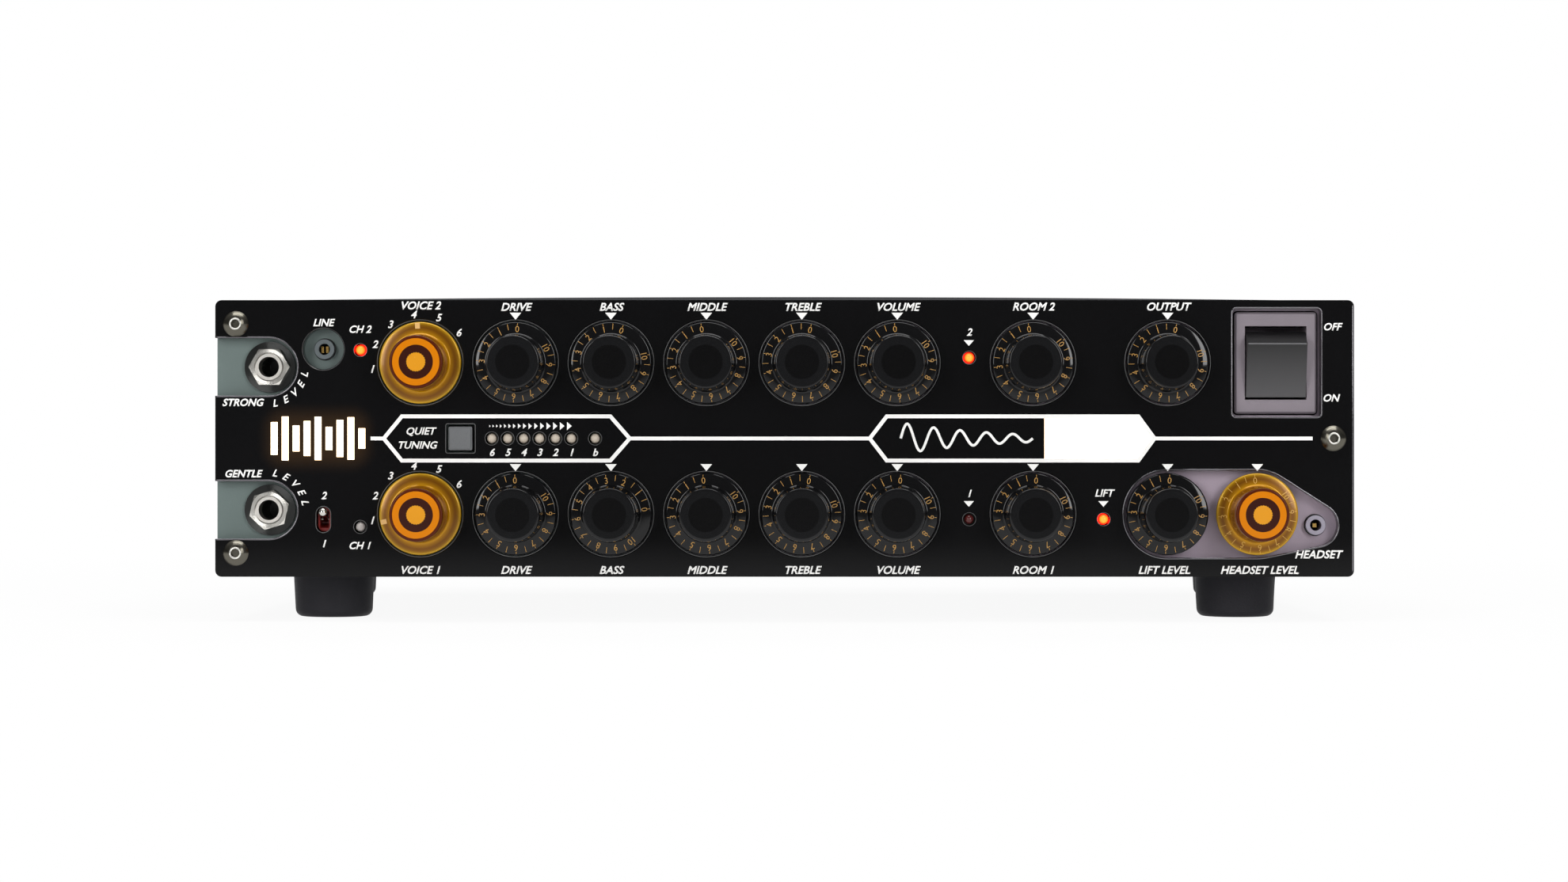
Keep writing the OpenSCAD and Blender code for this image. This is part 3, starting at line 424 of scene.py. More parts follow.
# The printing is white ink, screened on the front of the acrylic: linked frames along the middle with
# a plain wave line, a pointer over every knob, dial numbers for the selectors, a row of growing arrows
# over the tuner's lamps and plain function words.
INK_LIFT, INK_STEP, INK_THICK = 0.00006, 0.00001, 0.04
CAP_SHARE, SLANT = 0.72, 0.28
FRAME_HALF, FRAME_LINE, LINK_LINE = 7.55, 1.2, 1.15
TUNER_FRAME = (-126.8, -120.6, -54.5, -47.9)
NAME_FRAME = (26.0, 31.8, 111.5, 117.0)
LINKS = ((-129.8, -125.7), (-49.0, 27.1), (115.9, 165.6))
UPPER_POINTER, LOWER_POINTER = 38.8, -8.8
POINTER_W, POINTER_H = 3.6, 2.2
LAMP_POINTERS = ((57.9, 30.3), (57.9, -20.3), (100.2, -20.3))
LAMP_POINTER_W, LAMP_POINTER_H = 3.2, 1.8
ARROWS, ARROWS_FROM, ARROWS_UP, ARROW_W, ARROW_H = 16, -92.7, 3.9, 2.6, 1.5
ARROW_SMALLEST, ARROW_GAP, ARROW_GAP_GROWS = 0.28, 1.05, 0.043
TONE_WORDS = ("DRIVE", "BASS", "MIDDLE", "TREBLE", "VOLUME")
UPPER_WORDS, LOWER_WORDS, TUNER_WORDS = 41.3, -41.5, -4.5
KNOB_WORD_H, DIAL_WORD_H, SMALL_WORD_H = 2.5, 2.4, 2.3
STRONG_INK, PLAIN_INK, LIGHT_INK = 0.09, 0.08, 0.06
JACK_WORD_X, JACK_WORD_OFF = -170.4, 11.3
ROUND_WORD_R, ROUND_WORD_FROM, ROUND_WORD_STEP = 11.7, 80, 17
DIAL_ACROSS, DIAL_UP, DIAL_FROM, DIAL_STEP = 15.3, 15.15, -98, 30
WAVE_FROM, WAVE_LONG, WAVE_HIGH, WAVE_R, WAVE_STEPS = 36.5, 41.5, 5.0, 0.42, 96
WAVE_FADE, WAVE_HALF_SWINGS, WAVE_FLAT = 1.5, 10, 0.05


def stand_up(piece, across, up, turn=0.0):
    piece.matrix_world = (Matrix.Translation((across * MM, face_y - INK_LIFT, mid_z + up * MM))
                          @ Matrix.Rotation(turn, 4, "Y") @ upright)
    settle()
    return piece


def lettering(text, size, slant=0.0, weight=0.0):
    bpy.ops.object.select_all(action="DESELECT")
    bpy.ops.object.text_add()
    letters = bpy.context.object.data
    letters.body = text
    letters.size = size * MM
    letters.align_x = "CENTER"
    letters.align_y = "CENTER"
    letters.shear = slant
    letters.offset = weight * MM
    letters.resolution_u = 3
    bpy.ops.object.convert(target="MESH")
    return bpy.context.object


def word(text, across, up, high, weight, turn=0.0):
    return stand_up(lettering(text, high / CAP_SHARE, SLANT, weight), across, up, turn)


def link_line(start, end):
    bpy.ops.object.select_all(action="DESELECT")
    bpy.ops.mesh.primitive_plane_add(size=1)
    piece = bpy.context.object
    piece.scale = ((end - start + LINK_LINE * 0.6) * MM, LINK_LINE * MM, 1)
    settle()
    stand_up(piece, (start + end) / 2, 0)
    piece.data.transform(Matrix.Translation((0, INK_STEP, 0)))
    return piece


def pointer(across, up, wide, high, turn=0.0):
    bpy.ops.object.select_all(action="DESELECT")
    bpy.ops.mesh.primitive_circle_add(vertices=3, radius=1, fill_type="NGON")
    piece = bpy.context.object
    piece.scale = (wide * MM / math.sqrt(3), high * MM / 1.5, 1)
    piece.rotation_euler = (0, 0, math.pi)
    settle()
    return stand_up(piece, across, up, turn)


def linked_frame(left, top_left, top_right, right):
    bpy.ops.object.select_all(action="DESELECT")
    bpy.ops.mesh.primitive_circle_add(vertices=6, radius=MM, fill_type="NGON")
    piece = bpy.context.object
    middle = (left + right) / 2
    corners = [(left, 0), (top_left, FRAME_HALF), (top_right, FRAME_HALF),
               (right, 0), (top_right, -FRAME_HALF), (top_left, -FRAME_HALF)]
    corners.sort(key=lambda corner: math.atan2(corner[1], corner[0] - middle))
    points = sorted(piece.data.vertices, key=lambda point: math.atan2(point.co.y, point.co.x))
    for point, (across, up) in zip(points, corners):
        point.co = (across * MM, up * MM, 0)
    bpy.ops.object.mode_set(mode="EDIT")
    bpy.ops.mesh.select_all(action="SELECT")
    bpy.ops.mesh.inset(thickness=FRAME_LINE * MM)
    bpy.ops.mesh.delete(type="FACE")
    bpy.ops.object.mode_set(mode="OBJECT")
    return stand_up(piece, 0, 0)


def thicken(piece, depth):
    select_only(piece)
    wall = piece.modifiers.new("ink", "SOLIDIFY")
    wall.thickness = depth * MM
    wall.offset = -1
    bpy.ops.object.modifier_apply(modifier="ink")


ink_marks = [linked_frame(*TUNER_FRAME), linked_frame(*NAME_FRAME)]
ink_marks += [link_line(start, end) for start, end in LINKS]
for across in TONES + [REVERB, MASTER]:
    ink_marks.append(pointer(across, UPPER_POINTER, POINTER_W, POINTER_H))
    ink_marks.append(pointer(across, LOWER_POINTER, POINTER_W, POINTER_H))
ink_marks.append(pointer(PHONES, LOWER_POINTER, POINTER_W, POINTER_H))
ink_marks += [pointer(across, up, LAMP_POINTER_W, LAMP_POINTER_H) for across, up in LAMP_POINTERS]
for i in range(ARROWS):
    grow = ARROW_SMALLEST + (1 - ARROW_SMALLEST) * i / (ARROWS - 1)
    along = ARROWS_FROM + ARROW_GAP * i + ARROW_GAP_GROWS * i * (i - 1)
    ink_marks.append(pointer(along, ARROWS_UP, ARROW_W * grow, ARROW_H * grow, -math.pi / 2))

knob_words = [(text, across, up) for text, across in zip(TONE_WORDS, TONES)
              for up in (UPPER_WORDS - 0.1, LOWER_WORDS)]
knob_words += [("VOICE 2", SELECTOR, UPPER_WORDS + 0.35), ("ROOM 2", REVERB, UPPER_WORDS),
               ("OUTPUT", MASTER, UPPER_WORDS), ("VOICE 1", SELECTOR, LOWER_WORDS),
               ("ROOM 1", REVERB, LOWER_WORDS), ("LIFT LEVEL", MASTER - 1.2, LOWER_WORDS),
               ("HEADSET LEVEL", PHONES + 0.6, LOWER_WORDS), ("HEADSET", 167.6, -36.6)]
small_words = [("LINE", -145.1, 36.3), ("CH 2", -133.6, 34.2), ("CH 1", -133.6, -33.8), ("2", -144.9, -18.1),
               ("1", -144.9, -33.2), ("2", 58.0, 33.3), ("1", 58.0, -17.4), ("LIFT", 100.3, -17.3),
               ("QUIET", -114.6, 2.2), ("TUNING", -115.6, -2.2), ("OFF", 172.0, 35.0), ("ON", 171.6, 12.6)]
strong_words = [(text, across, TUNER_WORDS) for text, across in zip("654321b", TUNER_LAMPS)]
strong_words += [("STRONG", JACK_WORD_X, JACK_Z - JACK_WORD_OFF),
                 ("GENTLE", JACK_WORD_X, JACK_WORD_OFF - JACK_Z)]
dial_turns = [math.radians(DIAL_FROM + DIAL_STEP * i) for i in range(6)]
dial_words = [(str(i + 1), SELECTOR + DIAL_ACROSS * math.sin(turn), row + DIAL_UP * math.cos(turn))
              for row in (ROW, -ROW) for i, turn in enumerate(dial_turns)]
for words, high, weight in ((knob_words, KNOB_WORD_H, STRONG_INK), (small_words, SMALL_WORD_H, PLAIN_INK),
                            (strong_words, SMALL_WORD_H, STRONG_INK), (dial_words, DIAL_WORD_H, PLAIN_INK)):
    ink_marks += [word(text, across, up, high, weight) for text, across, up in words]
for up, side in ((JACK_Z, -1), (-JACK_Z, 1)):
    for i, letter in enumerate("LEVEL"):
        turn = math.radians(side * (ROUND_WORD_FROM - ROUND_WORD_STEP * i))
        ink_marks.append(word(letter, JACK_X + ROUND_WORD_R * math.cos(turn),
                              up + ROUND_WORD_R * math.sin(turn), SMALL_WORD_H, LIGHT_INK,
                              side * math.pi / 2 - turn))

wave_places = []
for i in range(WAVE_STEPS + 1):
    run = i / WAVE_STEPS
    swing = WAVE_HIGH * math.exp(-WAVE_FADE * run) * math.sin(run * WAVE_HALF_SWINGS * math.pi)
    wave_places.append(((WAVE_FROM + WAVE_LONG * run) * MM, swing * MM, 0))
wave = tube([(wave_places, [1.0] * len(wave_places), False)], WAVE_R, 2)
wave.scale = (1, 1, WAVE_FLAT)
settle()
stand_up(wave, 0, 0)

printing = join(ink_marks)
printing.name = "panel_printing"
thicken(printing, INK_THICK)
printing = join([printing, wave])
white_ink = finish("screened_white_ink", (0.95, 0.945, 0.92, 1), 0.45, grain=2500, bump=0.00001, mottle=0.05)
printing.data.materials.append(white_ink)
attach(printing, "case")


# Behind the two windows a milky diffuser is lit by a small white board of lamps, so the windows
# glow warm white, a little unevenly. The diffusers are pressed into the panel from behind.
def glowing(name, colour, strength, rough=0.25, body=None):
    made = finish(name, body or colour, rough, grain=1200, mottle=0.1)
    shader = made.node_tree.nodes["Principled BSDF"].inputs
    feed(made.node_tree, shader["Emission Color"], colour)
    feed(made.node_tree, shader["Emission Strength"], strength)
    return made


diffuser = glowing("lit_diffuser", (1.0, 0.86, 0.66, 1), 3.2, rough=0.4)
tree = diffuser.node_tree
place = add_node(tree, "ShaderNodeTexCoord", {}, "Object")
uneven = add_node(tree, "ShaderNodeTexNoise", {"Vector": place, "Scale": 55, "Detail": 1}, "Fac")
warmth = blend_colours(tree, uneven, (1.0, 0.66, 0.36, 1), (1.0, 0.78, 0.5, 1))
feed(tree, tree.nodes["Principled BSDF"].inputs["Emission Color"], warmth)
dress(diffuser, "panel_lenses")
dress(finish("white_board_mask", (0.75, 0.75, 0.72, 1), 0.5), "backlight_boards")

# Controls behind the wall: potentiometers and rotary switches in plated steel cans, each put through
# the front wall from behind and clamped by a hex nut.
dress(zinc, "potentiometers", "selector_switches", "pot_nuts")

# Input jacks: moulded bodies with a plated bush through the wall, clamped by a turned black washer and
# a turned nickel hex nut, whose round tool marks spread the light sideways. The rear jacks are alike.
TURNED = 0.95
BUSH_OUT = 0.004
brushed_nickel = finish("brushed_nickel", tint(236, 233, 226), 0.24, metal=1.0, grain=2600, mottle=0.05)
washer_black = finish("black_washer", tint(76, 77, 76), 0.2, metal=1.0, grain=1400, mottle=0.2)
for made in (washer_black, brushed_nickel):
    tree = made.node_tree
    shader = tree.nodes["Principled BSDF"].inputs
    feed(tree, shader["Anisotropic"], TURNED)
    along = calculate(tree, "SUBTRACT", axis(tree, "X"), JACK_X * MM)
    height = calculate(tree, "SUBTRACT", axis(tree, "Z"), mid_z)
    jack_row = calculate(tree, "MULTIPLY", calculate(tree, "SIGN", height), JACK_Z * MM)
    below = calculate(tree, "MULTIPLY", calculate(tree, "SUBTRACT", height, jack_row), -1)
    feed(tree, shader["Tangent"], add_node(tree, "ShaderNodeCombineXYZ", {"X": below, "Z": along}, 0))
dress(brushed_nickel, "jack_nuts")
dress(washer_black, "jack_washers")
plated_jack = finish("jack_with_plated_bush", tint(30, 30, 31), 0.32, grain=1400, bump=0.00002, mottle=0.2)
tree = plated_jack.node_tree
rear_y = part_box("rear_wall")[1].y
from_middle = calculate(tree, "SUBTRACT", axis(tree, "Y"), (back_y + rear_y) / 2)
how_far = calculate(tree, "ABSOLUTE", from_middle)
outside = calculate(tree, "GREATER_THAN", how_far, (rear_y - back_y) / 2 - BUSH_OUT)
second_colour(plated_jack, outside, tint(228, 224, 217))
feed(tree, tree.nodes["Principled BSDF"].inputs["Metallic"], outside)
dress(plated_jack, "input_jacks", "rear_jacks")

# The small jacks for line input and headphones are grey mouldings, the right one painted paler and mauve for
# the stronger light on that side, pushed through the wall. Brass contacts show in their mouths: two strips in
# one, a block in the other.
CONTACTS = ((AUX_JACK, -0.75, 0.8, 2.0), (AUX_JACK, 0.75, 0.8, 2.0), (PHONES_JACK, -0.15, 1.2, 1.2))
CONTACT_LONG, CONTACT_DEPTH, CONTACT_DROP = 10, 4.5, 0.1
SHADOW_RING_R, SHADOW_TUBE_R, SHADOW_PROUD = 3.25, 0.24, 0.1
mini_jack = finish("grey_jack_moulding", tint(88, 96, 99), 0.4, grain=1400, bump=0.00003, mottle=0.2)
tree = mini_jack.node_tree
# Painted light: the right-hand jack is paler and mauve where the light falls stronger.
at_right = calculate(tree, "GREATER_THAN", axis(tree, "X"))
second_colour(mini_jack, at_right, tint(160, 155, 170))
dress(mini_jack, "mini_jacks")

contact_blocks = []
for (across, up), shift, wide, high in CONTACTS:
    bpy.ops.object.select_all(action="DESELECT")
    bpy.ops.mesh.primitive_cube_add(size=MM, location=((across + shift) * MM, back_y + CONTACT_DEPTH * MM,
                                                       mid_z + (up - CONTACT_DROP) * MM))
    bpy.context.object.scale = (wide, CONTACT_LONG, high)
    settle()
    contact_blocks.append(bpy.context.object)
contacts = join(contact_blocks)
contacts.name = "mini_jack_contacts"
brass = finish("turned_brass", tint(196, 160, 92), 0.25, metal=1.0, grain=1500)
contacts.data.materials.append(brass)
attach(contacts, "case")

jack_plastic = finish("black_jack_moulding", tint(30, 30, 31), 0.4, grain=1400, bump=0.00003, mottle=0.2)
# Painted shadows: a thin dark ring round each small jack's collar where it meets the wall.
for name, (across, up) in (("aux_jack_shadow_ring", AUX_JACK), ("phones_jack_shadow_ring", PHONES_JACK)):
    bpy.ops.object.select_all(action="DESELECT")
    bpy.ops.mesh.primitive_torus_add(major_segments=48, minor_segments=8, major_radius=SHADOW_RING_R * MM,
                                     minor_radius=SHADOW_TUBE_R * MM, rotation=(math.pi / 2, 0, 0),
                                     location=(across * MM, back_y - SHADOW_PROUD * MM, mid_z + up * MM))
    shadow_ring = bpy.context.object
    settle()
    bpy.ops.object.shade_smooth()
    shadow_ring.name = name
    shadow_ring.data.materials.append(jack_plastic)
    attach(shadow_ring, "case")

# Lamps: moulded 3 mm ones pushed into the panel from behind. The lit ones are orange-red with a paler
# tip, the unlit ones clear at the left and dark red at the right, and the tuner's are frosted.
TIP_FROM, TIP_TO = 0.0011, 0.0002
lit = glowing("lit_red_lamp", (1.0, 0.03, 0.008, 1), 2.4, body=tint(200, 30, 14))
tree = lit.node_tree
lamp_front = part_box("lit_leds")[0].y
tip = grade(tree, axis(tree, "Y"), lamp_front + TIP_FROM, lamp_front + TIP_TO)
core = blend_colours(tree, tip, (1.0, 0.012, 0.004, 1), (1.0, 0.22, 0.015, 1))
feed(tree, tree.nodes["Principled BSDF"].inputs["Emission Color"], core)
dress(lit, "lit_leds")
unlit = finish("unlit_lamp", tint(176, 170, 166), 0.2, grain=900)
tree = unlit.node_tree
at_right = calculate(tree, "GREATER_THAN", axis(tree, "X"))
second_colour(unlit, at_right, tint(74, 22, 20))
dress(unlit, "unlit_leds")
dress(finish("frosted_lamp", tint(196, 184, 168), 0.45, grain=1500, bump=0.00002), "tuner_leds")

# The power switch is a snap-in rocker: a fine textured bezel ringed by a thin dark tube where it meets the
# wall, a painted shadow of the gap, and a satin paddle turning on side pins, painted paler towards its lower
# end as a reflection of the floor and with a pale rod along its ridge as a painted highlight.
SEAM_W, SEAM_H, SEAM_CORNER, SEAM_R, SEAM_PROUD = 26.3, 32.4, 1.2, 0.24, 0.2
RIDGE_R, RIDGE_LONG, RIDGE_PROUD, RIDGE_UP = 0.3, 18.3, 7.06, 5.9
REFLECTION_BELOW_TOP = 0.004
bezel_plastic = finish("textured_bezel", tint(132, 123, 131), 0.5, grain=2600, bump=0.00006, mottle=0.15)
dress(bezel_plastic, "rocker_housing")
paddle_plastic = finish("satin_paddle", tint(18, 18, 19), 0.4, grain=2200, bump=0.00002, mottle=0.15)
paddle_low, paddle_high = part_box("rocker_paddle")
tree = paddle_plastic.node_tree
# Painted reflection: the paddle turns paler towards its lower end, where it faces the floor.
floor_reflection_share = grade(tree, axis(tree, "Z"), paddle_high.z - REFLECTION_BELOW_TOP, paddle_low.z)
second_colour(paddle_plastic, floor_reflection_share, tint(76, 75, 77))
dress(paddle_plastic, "rocker_paddle")

# Painted shadow: a thin dark tube round the bezel where it meets the wall.
seam_depth = (back_y - face_y) / MM - SEAM_PROUD
shadow_ring = tube([line_on_panel(round_box(ROCKER, ROW, SEAM_W, SEAM_H, SEAM_CORNER), seam_depth)], SEAM_R, 2)
shadow_ring.name = "rocker_bezel_shadow"
bpy.ops.object.shade_smooth()
shadow_ring.data.materials.append(finish("bezel_gap_shadow_paint", tint(12, 12, 13), 0.7, specular=0.08))
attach(shadow_ring, "case")

# Painted highlight: a pale rod along the paddle's ridge.
bpy.ops.object.select_all(action="DESELECT")
bpy.ops.mesh.primitive_cylinder_add(vertices=20, radius=RIDGE_R * MM, depth=RIDGE_LONG * MM,
                                    location=(ROCKER * MM, back_y - RIDGE_PROUD * MM,
                                              mid_z + (ROW + RIDGE_UP) * MM),
                                    rotation=(0, math.pi / 2, 0))
ridge = bpy.context.object
settle()
bpy.ops.object.shade_smooth_by_angle(angle=math.radians(40))
ridge.name = "paddle_ridge"
ridge.data.materials.append(finish("paddle_ridge_highlight_paint", tint(84, 84, 86), 0.35, grain=2200, mottle=0.2))
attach(ridge, "rocker_paddle")

# The tuner button is a grained grey cap on a square stem, pressed on a black push switch
# that sits behind the wall.
dress(finish("grained_button", tint(98, 100, 102), 0.6, grain=1500, bump=0.00025, mottle=0.3), "tuner_button")
dress(jack_plastic, "tuner_switch")

# The channel toggle is a miniature switch with a red moulded body behind the panel's slot
# and a nickel plated ball lever.
nickel = finish("bright_nickel", tint(214, 211, 205), 0.16, metal=1.0, grain=1500, bump=0.000008, mottle=0.06)
dress(finish("red_switch_moulding", tint(150, 28, 22), 0.35, grain=1200), "toggle_switch")
dress(nickel, "toggle_lever")

# Knobs: top-hat caps, spun smooth, fourteen of black acrylic with gold figures printed on the skirt and
# three of clear amber acrylic. Through the amber tops the parts show as rings: the splined shaft end,
# the dark hub round it, the bright hollow and the dark outer wall. Each cap is pressed on its shaft.
CAP_R, CAP_H, SKIRT_T, SKIRT_RISE = 12.9, 16.5, 1.8, 0.35
HAT_FOOT, HAT_TOP, HAT_FILLET = 8.9, 8.3, 0.8
TOP_ROUND, SKIRT_ROUND, FOOT_ROUND = 0.45, 0.55, 0.2
TOP_RINGS = (0.5, 2.0, 2.3)
WALL_FROM, HOLLOW_FROM = 7.5, 5.5
FIGURE_R, FIGURE_SIZE, SHORT_R, LONG_R, TICK_WIDE = 10.5, 2.8, 12.1, 11.4, 0.17
MARK_R, MARK_SIZE = 11.7, (1.5, 1.9, 1)
FIGURE_LIFT, FIGURE_THICK, START_ABOVE = 0.03, 0.025, 1.2
SHAFT_R, SPLINE_STEP, SPLINE_ROOT, SHAFT_PROUD = 3.05, 7.5, 0.93, 0.03
NEAR = 0.00002
BLACK_KNOBS = {"gain_knob_2": 3, "bass_knob_2": 18, "middle_knob_2": -8, "treble_knob_2": 14,
               "level_knob_2": -4, "reverb_knob_2": -7, "master_knob": 13, "gain_knob_1": -1,
               "bass_knob_1": 82, "middle_knob_1": -5, "treble_knob_1": 12, "level_knob_1": 5,
               "reverb_knob_1": 5, "boost_knob": 3}
AMBER_KNOBS = {"selector_knob_2": -4, "selector_knob_1": -102, "phones_knob": -4}


def clear_picks(kind):
    bpy.ops.object.mode_set(mode="EDIT")
    bpy.ops.mesh.select_mode(type=kind)
    bpy.ops.mesh.select_all(action="DESELECT")
    bpy.ops.object.mode_set(mode="OBJECT")


def pick_faces(piece, test):
    clear_picks("FACE")
    for face in piece.data.polygons:
        face.select = test(face)
    bpy.ops.object.mode_set(mode="EDIT")


def reach_of(point):
    return math.hypot(point.co.x, point.co.y)


def round_ring(piece, radius, height, size, steps):
    clear_picks("EDGE")
    points = piece.data.vertices
    for edge in piece.data.edges:
        ends = [points[i] for i in edge.vertices]
        edge.select = all(abs(reach_of(end) - radius * MM) < NEAR and abs(end.co.z - height * MM) < NEAR
                          for end in ends)
    bpy.ops.object.mode_set(mode="EDIT")
    bpy.ops.mesh.bevel(offset=size * MM, segments=steps, affect="EDGES")
    bpy.ops.object.mode_set(mode="OBJECT")


bpy.ops.object.select_all(action="DESELECT")
bpy.ops.mesh.primitive_cylinder_add(vertices=96, radius=CAP_R * MM, depth=SKIRT_T * MM,
                                    location=(0, 0, SKIRT_T / 2 * MM))
cap = bpy.context.object
settle()
pick_faces(cap, lambda face: face.normal.z > 0.9)
bpy.ops.mesh.inset(thickness=(CAP_R - HAT_FOOT - HAT_FILLET) * MM)
bpy.ops.transform.translate(value=(0, 0, SKIRT_RISE * MM))
bpy.ops.mesh.inset(thickness=HAT_FILLET * MM)
hat_rise = (CAP_H - SKIRT_T - SKIRT_RISE) * MM
bpy.ops.mesh.extrude_region_move(TRANSFORM_OT_translate={"value": (0, 0, hat_rise)})
bpy.ops.transform.resize(value=(HAT_TOP / HAT_FOOT, HAT_TOP / HAT_FOOT, 1))
bpy.ops.object.mode_set(mode="OBJECT")
round_ring(cap, HAT_FOOT, SKIRT_T + SKIRT_RISE, HAT_FILLET * 0.98, 6)
round_ring(cap, HAT_TOP, CAP_H, TOP_ROUND, 4)
round_ring(cap, CAP_R, SKIRT_T, SKIRT_ROUND, 5)
round_ring(cap, CAP_R, 0, FOOT_ROUND, 2)
pick_faces(cap, lambda face: face.normal.z > 0.99 and face.center.z > (CAP_H - 0.1) * MM)
for step in TOP_RINGS:
    bpy.ops.mesh.inset(thickness=step * MM)
bpy.ops.object.mode_set(mode="OBJECT")
bpy.ops.object.shade_smooth_by_angle(angle=math.radians(35))

reaches = cap.data.attributes.new("reach", "FLOAT", "POINT")
for i, point in enumerate(cap.data.vertices):
    reaches.data[i].value = reach_of(point) / MM
for face in cap.data.polygons:
    reach = max(reach_of(cap.data.vertices[i]) for i in face.vertices) / MM
    if face.normal.z > 0.99 and face.center.z > (CAP_H - 0.02) * MM:
        face.material_index = 1 if reach > WALL_FROM else 2 if reach > HOLLOW_FROM else 3
    elif face.center.z > (SKIRT_T + SKIRT_RISE + 0.5) * MM and reach < HAT_FOOT + 0.2:
        face.material_index = 1 if face.center.z > (CAP_H - 0.6) * MM else 4


def blank():
    bpy.ops.object.select_all(action="DESELECT")
    bpy.ops.mesh.primitive_grid_add(x_subdivisions=2, y_subdivisions=6, size=MM)
    return bpy.context.object


def lay_out(piece, tilt, radius, size):
    piece.scale = size
    settle()
    piece.matrix_world = (Matrix.Rotation(tilt, 4, "Z")
                          @ Matrix.Translation((0, radius * MM, (SKIRT_T + START_ABOVE) * MM)))
    settle()
    return piece


def print_on_cap(piece):
    select_only(piece)
    lay = piece.modifiers.new("lay", "SHRINKWRAP")
    lay.target = cap
    lay.wrap_method = "PROJECT"
    lay.use_project_z = True
    lay.use_positive_direction = False
    lay.use_negative_direction = True
    lay.offset = FIGURE_LIFT * MM
    bpy.ops.object.modifier_apply(modifier="lay")
    thicken(piece, FIGURE_THICK)


dial_marks = []
for number in range(11):
    tilt = math.radians(30 * number)
    dial_marks.append(lay_out(lettering(str(number), FIGURE_SIZE), tilt, FIGURE_R, (0.95, 1, 1)))
    dial_marks.append(lay_out(blank(), tilt, SHORT_R, (TICK_WIDE, 0.7, 1)))
    if number < 10:
        dial_marks.append(lay_out(blank(), tilt + math.radians(15), LONG_R, (TICK_WIDE, 1.9, 1)))
dial = join(dial_marks)
print_on_cap(dial)
mark = lay_out(blank(), 0, MARK_R, MARK_SIZE)
print_on_cap(mark)

bpy.ops.object.select_all(action="DESELECT")
bpy.ops.mesh.primitive_cylinder_add(vertices=48, radius=SHAFT_R * MM, depth=MM, location=(0, 0, -0.5 * MM))
shaft = bpy.context.object
settle()
clear_picks("VERT")
for point in shaft.data.vertices:
    tooth = round(math.degrees(math.atan2(point.co.y, point.co.x)) / SPLINE_STEP)
    point.select = tooth % 2 == 0
bpy.ops.object.mode_set(mode="EDIT")
bpy.ops.transform.resize(value=(SPLINE_ROOT, SPLINE_ROOT, 1))
bpy.ops.object.mode_set(mode="OBJECT")

black_cap = finish("black_knob_acrylic", (0.0045, 0.0045, 0.005, 1), 0.06, specular=0.34, grain=300,
                   mottle=0.2)
black_rim = finish("black_knob_hat", (0.006, 0.006, 0.0066, 1), 0.09, specular=0.34, grain=300, mottle=0.2)
black_ring = finish("black_knob_hollow", (0.0068, 0.007, 0.0076, 1), 0.06, specular=0.34, grain=300,
                    mottle=0.2)
black_hub = finish("black_knob_hub", (0.0028, 0.0028, 0.003, 1), 0.05, specular=0.34, grain=300, mottle=0.3)
amber_skirt = finish("amber_skirt", (0.8, 0.8, 0.8, 1), 0.24, metal=0.25, specular=0.3, grain=260,
                     mottle=0.25, coat=0.1)
amber_wall = finish("amber_hat_wall", tint(78, 28, 6), 0.2, specular=0.15, grain=260, mottle=0.15)
amber_side = finish("amber_hat_side", tint(126, 72, 8), 0.1, specular=0.35, grain=260, mottle=0.3)
amber_ring = finish("amber_hollow", tint(208, 120, 2), 0.14, specular=0.3, grain=260, mottle=0.05)
amber_hub = finish("amber_hub", tint(52, 18, 9), 0.14, specular=0.35, grain=260, mottle=0.15, coat=0.15)
amber_shaft = finish("amber_shaft_end", tint(216, 144, 6), 0.25, grain=900, mottle=0.05)
gold_figures = finish("gold_figures", tint(184, 138, 66), 0.4, grain=2000, mottle=0.08)
pale_figures = finish("pale_figures", tint(196, 152, 54), 0.4, grain=2000, mottle=0.08)
cream_mark = finish("cream_marker", tint(222, 176, 104), 0.4, grain=2000, mottle=0.05)

# Painted light on the amber skirt: bright bands by the hat and at the rim stand for light caught in the clear
# acrylic, with painted shade between.
AMBER_LIGHT_BANDS = ((0.22, tint(170, 114, 2)), (0.46, tint(132, 80, 2)), (0.68, tint(148, 98, 3)),
               (0.82, tint(184, 136, 12)))
LIGHT_BANDS_FROM, RIM_HIGHLIGHT = 9.4, 0.93
tree = amber_skirt.node_tree
across_skirt = tree.nodes.new("ShaderNodeAttribute")
across_skirt.attribute_name = "reach"
painted_light_bands = tree.nodes.new("ShaderNodeValToRGB")
painted_light_bands.color_ramp.elements[0].color = tint(208, 148, 4)
painted_light_bands.color_ramp.elements[1].color = tint(222, 172, 44)
painted_light_bands.color_ramp.elements[1].position = RIM_HIGHLIGHT
for stop, colour in AMBER_LIGHT_BANDS:
    painted_light_bands.color_ramp.elements.new(stop).color = colour
feed(tree, painted_light_bands.inputs["Fac"], grade(tree, across_skirt.outputs["Fac"], LIGHT_BANDS_FROM, CAP_R))
second_colour(amber_skirt, 1, painted_light_bands.outputs["Color"], "MULTIPLY")


def copy_to(piece, name, centre, turn, node):
    turned = Matrix.Rotation(math.radians(turn), 4, "Y") @ upright
    made = placed_copy(piece, Matrix.Translation(centre) @ turned)
    made.name = name
    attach(made, node)
    return made


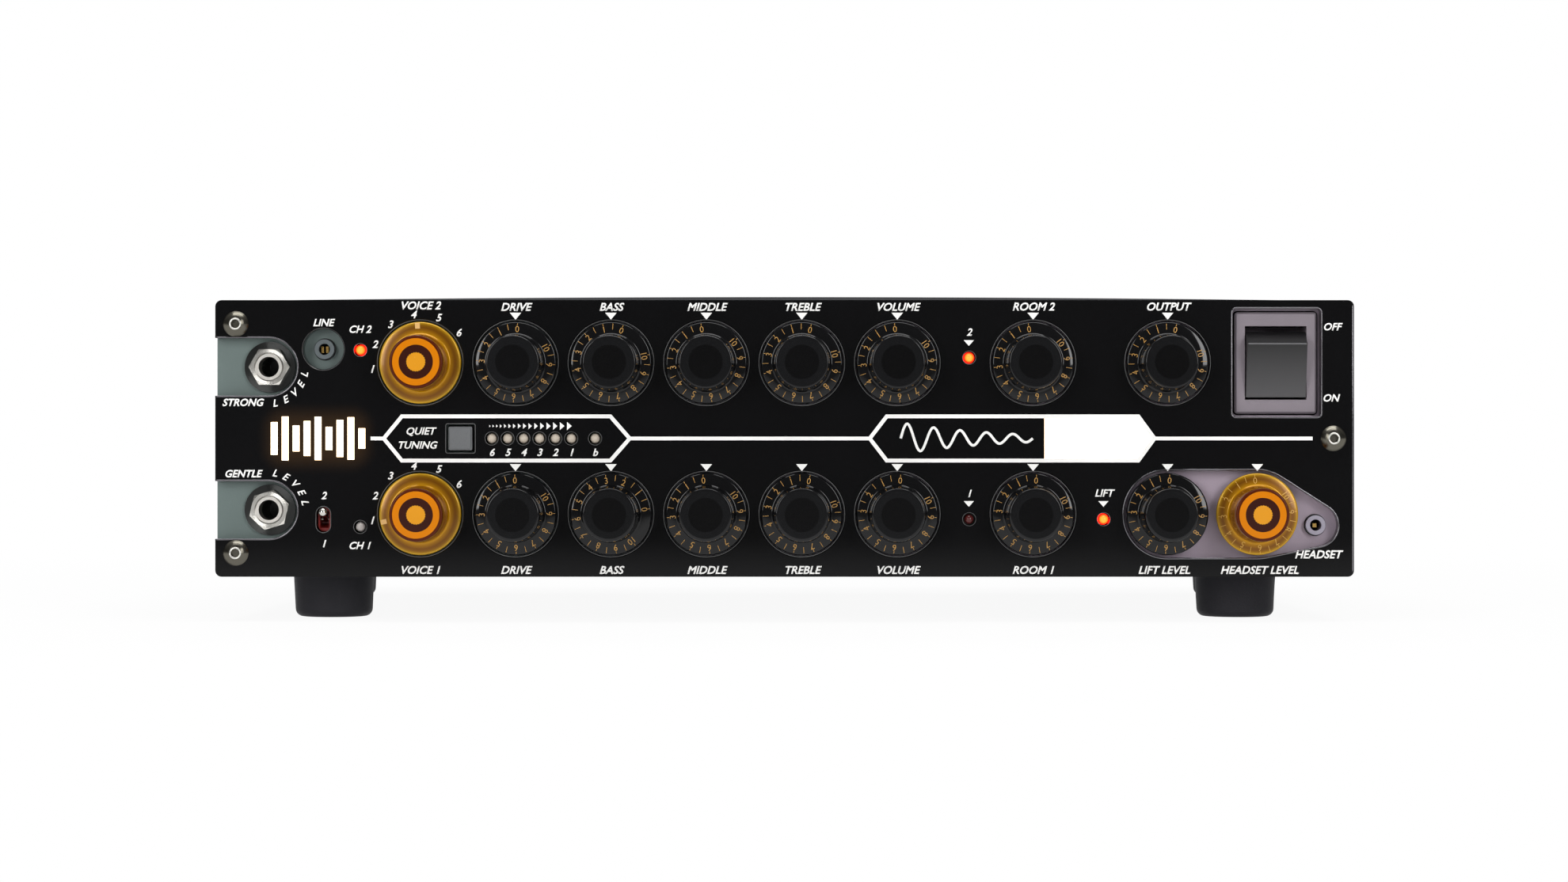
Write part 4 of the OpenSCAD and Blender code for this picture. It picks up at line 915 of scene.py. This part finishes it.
for name, turn in list(BLACK_KNOBS.items()) + list(AMBER_KNOBS.items()):
    amber = name in AMBER_KNOBS
    low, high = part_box(name)
    centre = Vector(((low.x + high.x) / 2, low.y + CAP_H * MM, (low.z + high.z) / 2))
    body = copy_to(cap, name + "_cap", centre, turn, name)
    for made in ((amber_skirt, amber_wall, amber_ring, amber_hub, amber_side) if amber
                 else (black_cap, black_rim, black_ring, black_hub, black_rim)):
        body.data.materials.append(made)
    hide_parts(name)
    stem = placed_copy(shaft, Matrix.Diagonal((1, 1, (high.y - centre.y) / MM, 1)))
    rod_piece = copy_to(stem, name + "_shaft", centre, turn, name)
    rod_piece.data.materials.append(zinc)
    bpy.data.objects.remove(stem)
    if amber:
        top = centre - Vector((0, (CAP_H + SHAFT_PROUD) * MM, 0))
        tip = copy_to(shaft, name + "_shaft_end", top, turn, name)
        tip.data.materials.append(amber_shaft)
    if name.startswith("selector"):
        spot = copy_to(mark, name + "_mark", centre, turn, name)
        spot.data.materials.append(cream_mark)
    else:
        figures = copy_to(dial, name + "_figures", centre, turn, name)
        figures.data.materials.append(pale_figures if amber else gold_figures)
for model in (cap, dial, mark, shaft):
    bpy.data.objects.remove(model)

# Inside: green glass boards on turned brass standoffs, a varnished transformer, sleeved capacitors,
# an anodised heat sink and a ribbon cable, all screwed or soldered to the boards.
dress(finish("green_board", tint(24, 82, 44), 0.4, grain=700), "preamp_board", "power_board")
dress(brass, "board_standoffs")
dress(finish("varnished_core", tint(120, 74, 44), 0.4, grain=500), "power_transformer")
dress(finish("blue_sleeve", tint(36, 44, 92), 0.3, grain=600), "capacitors")
dress(finish("black_anodised", tint(34, 34, 36), 0.4, metal=0.8, grain=900), "heat_sink")
dress(finish("ribbon_pvc", tint(168, 168, 172), 0.45, grain=600), "ribbon_cable")

# Rear: a moulded fan behind a bright plated wire guard, the mains inlet with its plated blades and the
# line output with its brass pins, all held to the rear wall by zinc plated screws.
fan_plastic = finish("fan_moulding", tint(26, 26, 27), 0.45, grain=1200, bump=0.00003)
dress(fan_plastic, "fan_frame", "fan_rotor")
dress(nickel, "fan_guard")
dress(jack_plastic, "mains_inlet", "line_out_shell")
dress(brass, "line_out_pins")
dress(zinc, "rear_screws", "inlet_blades")
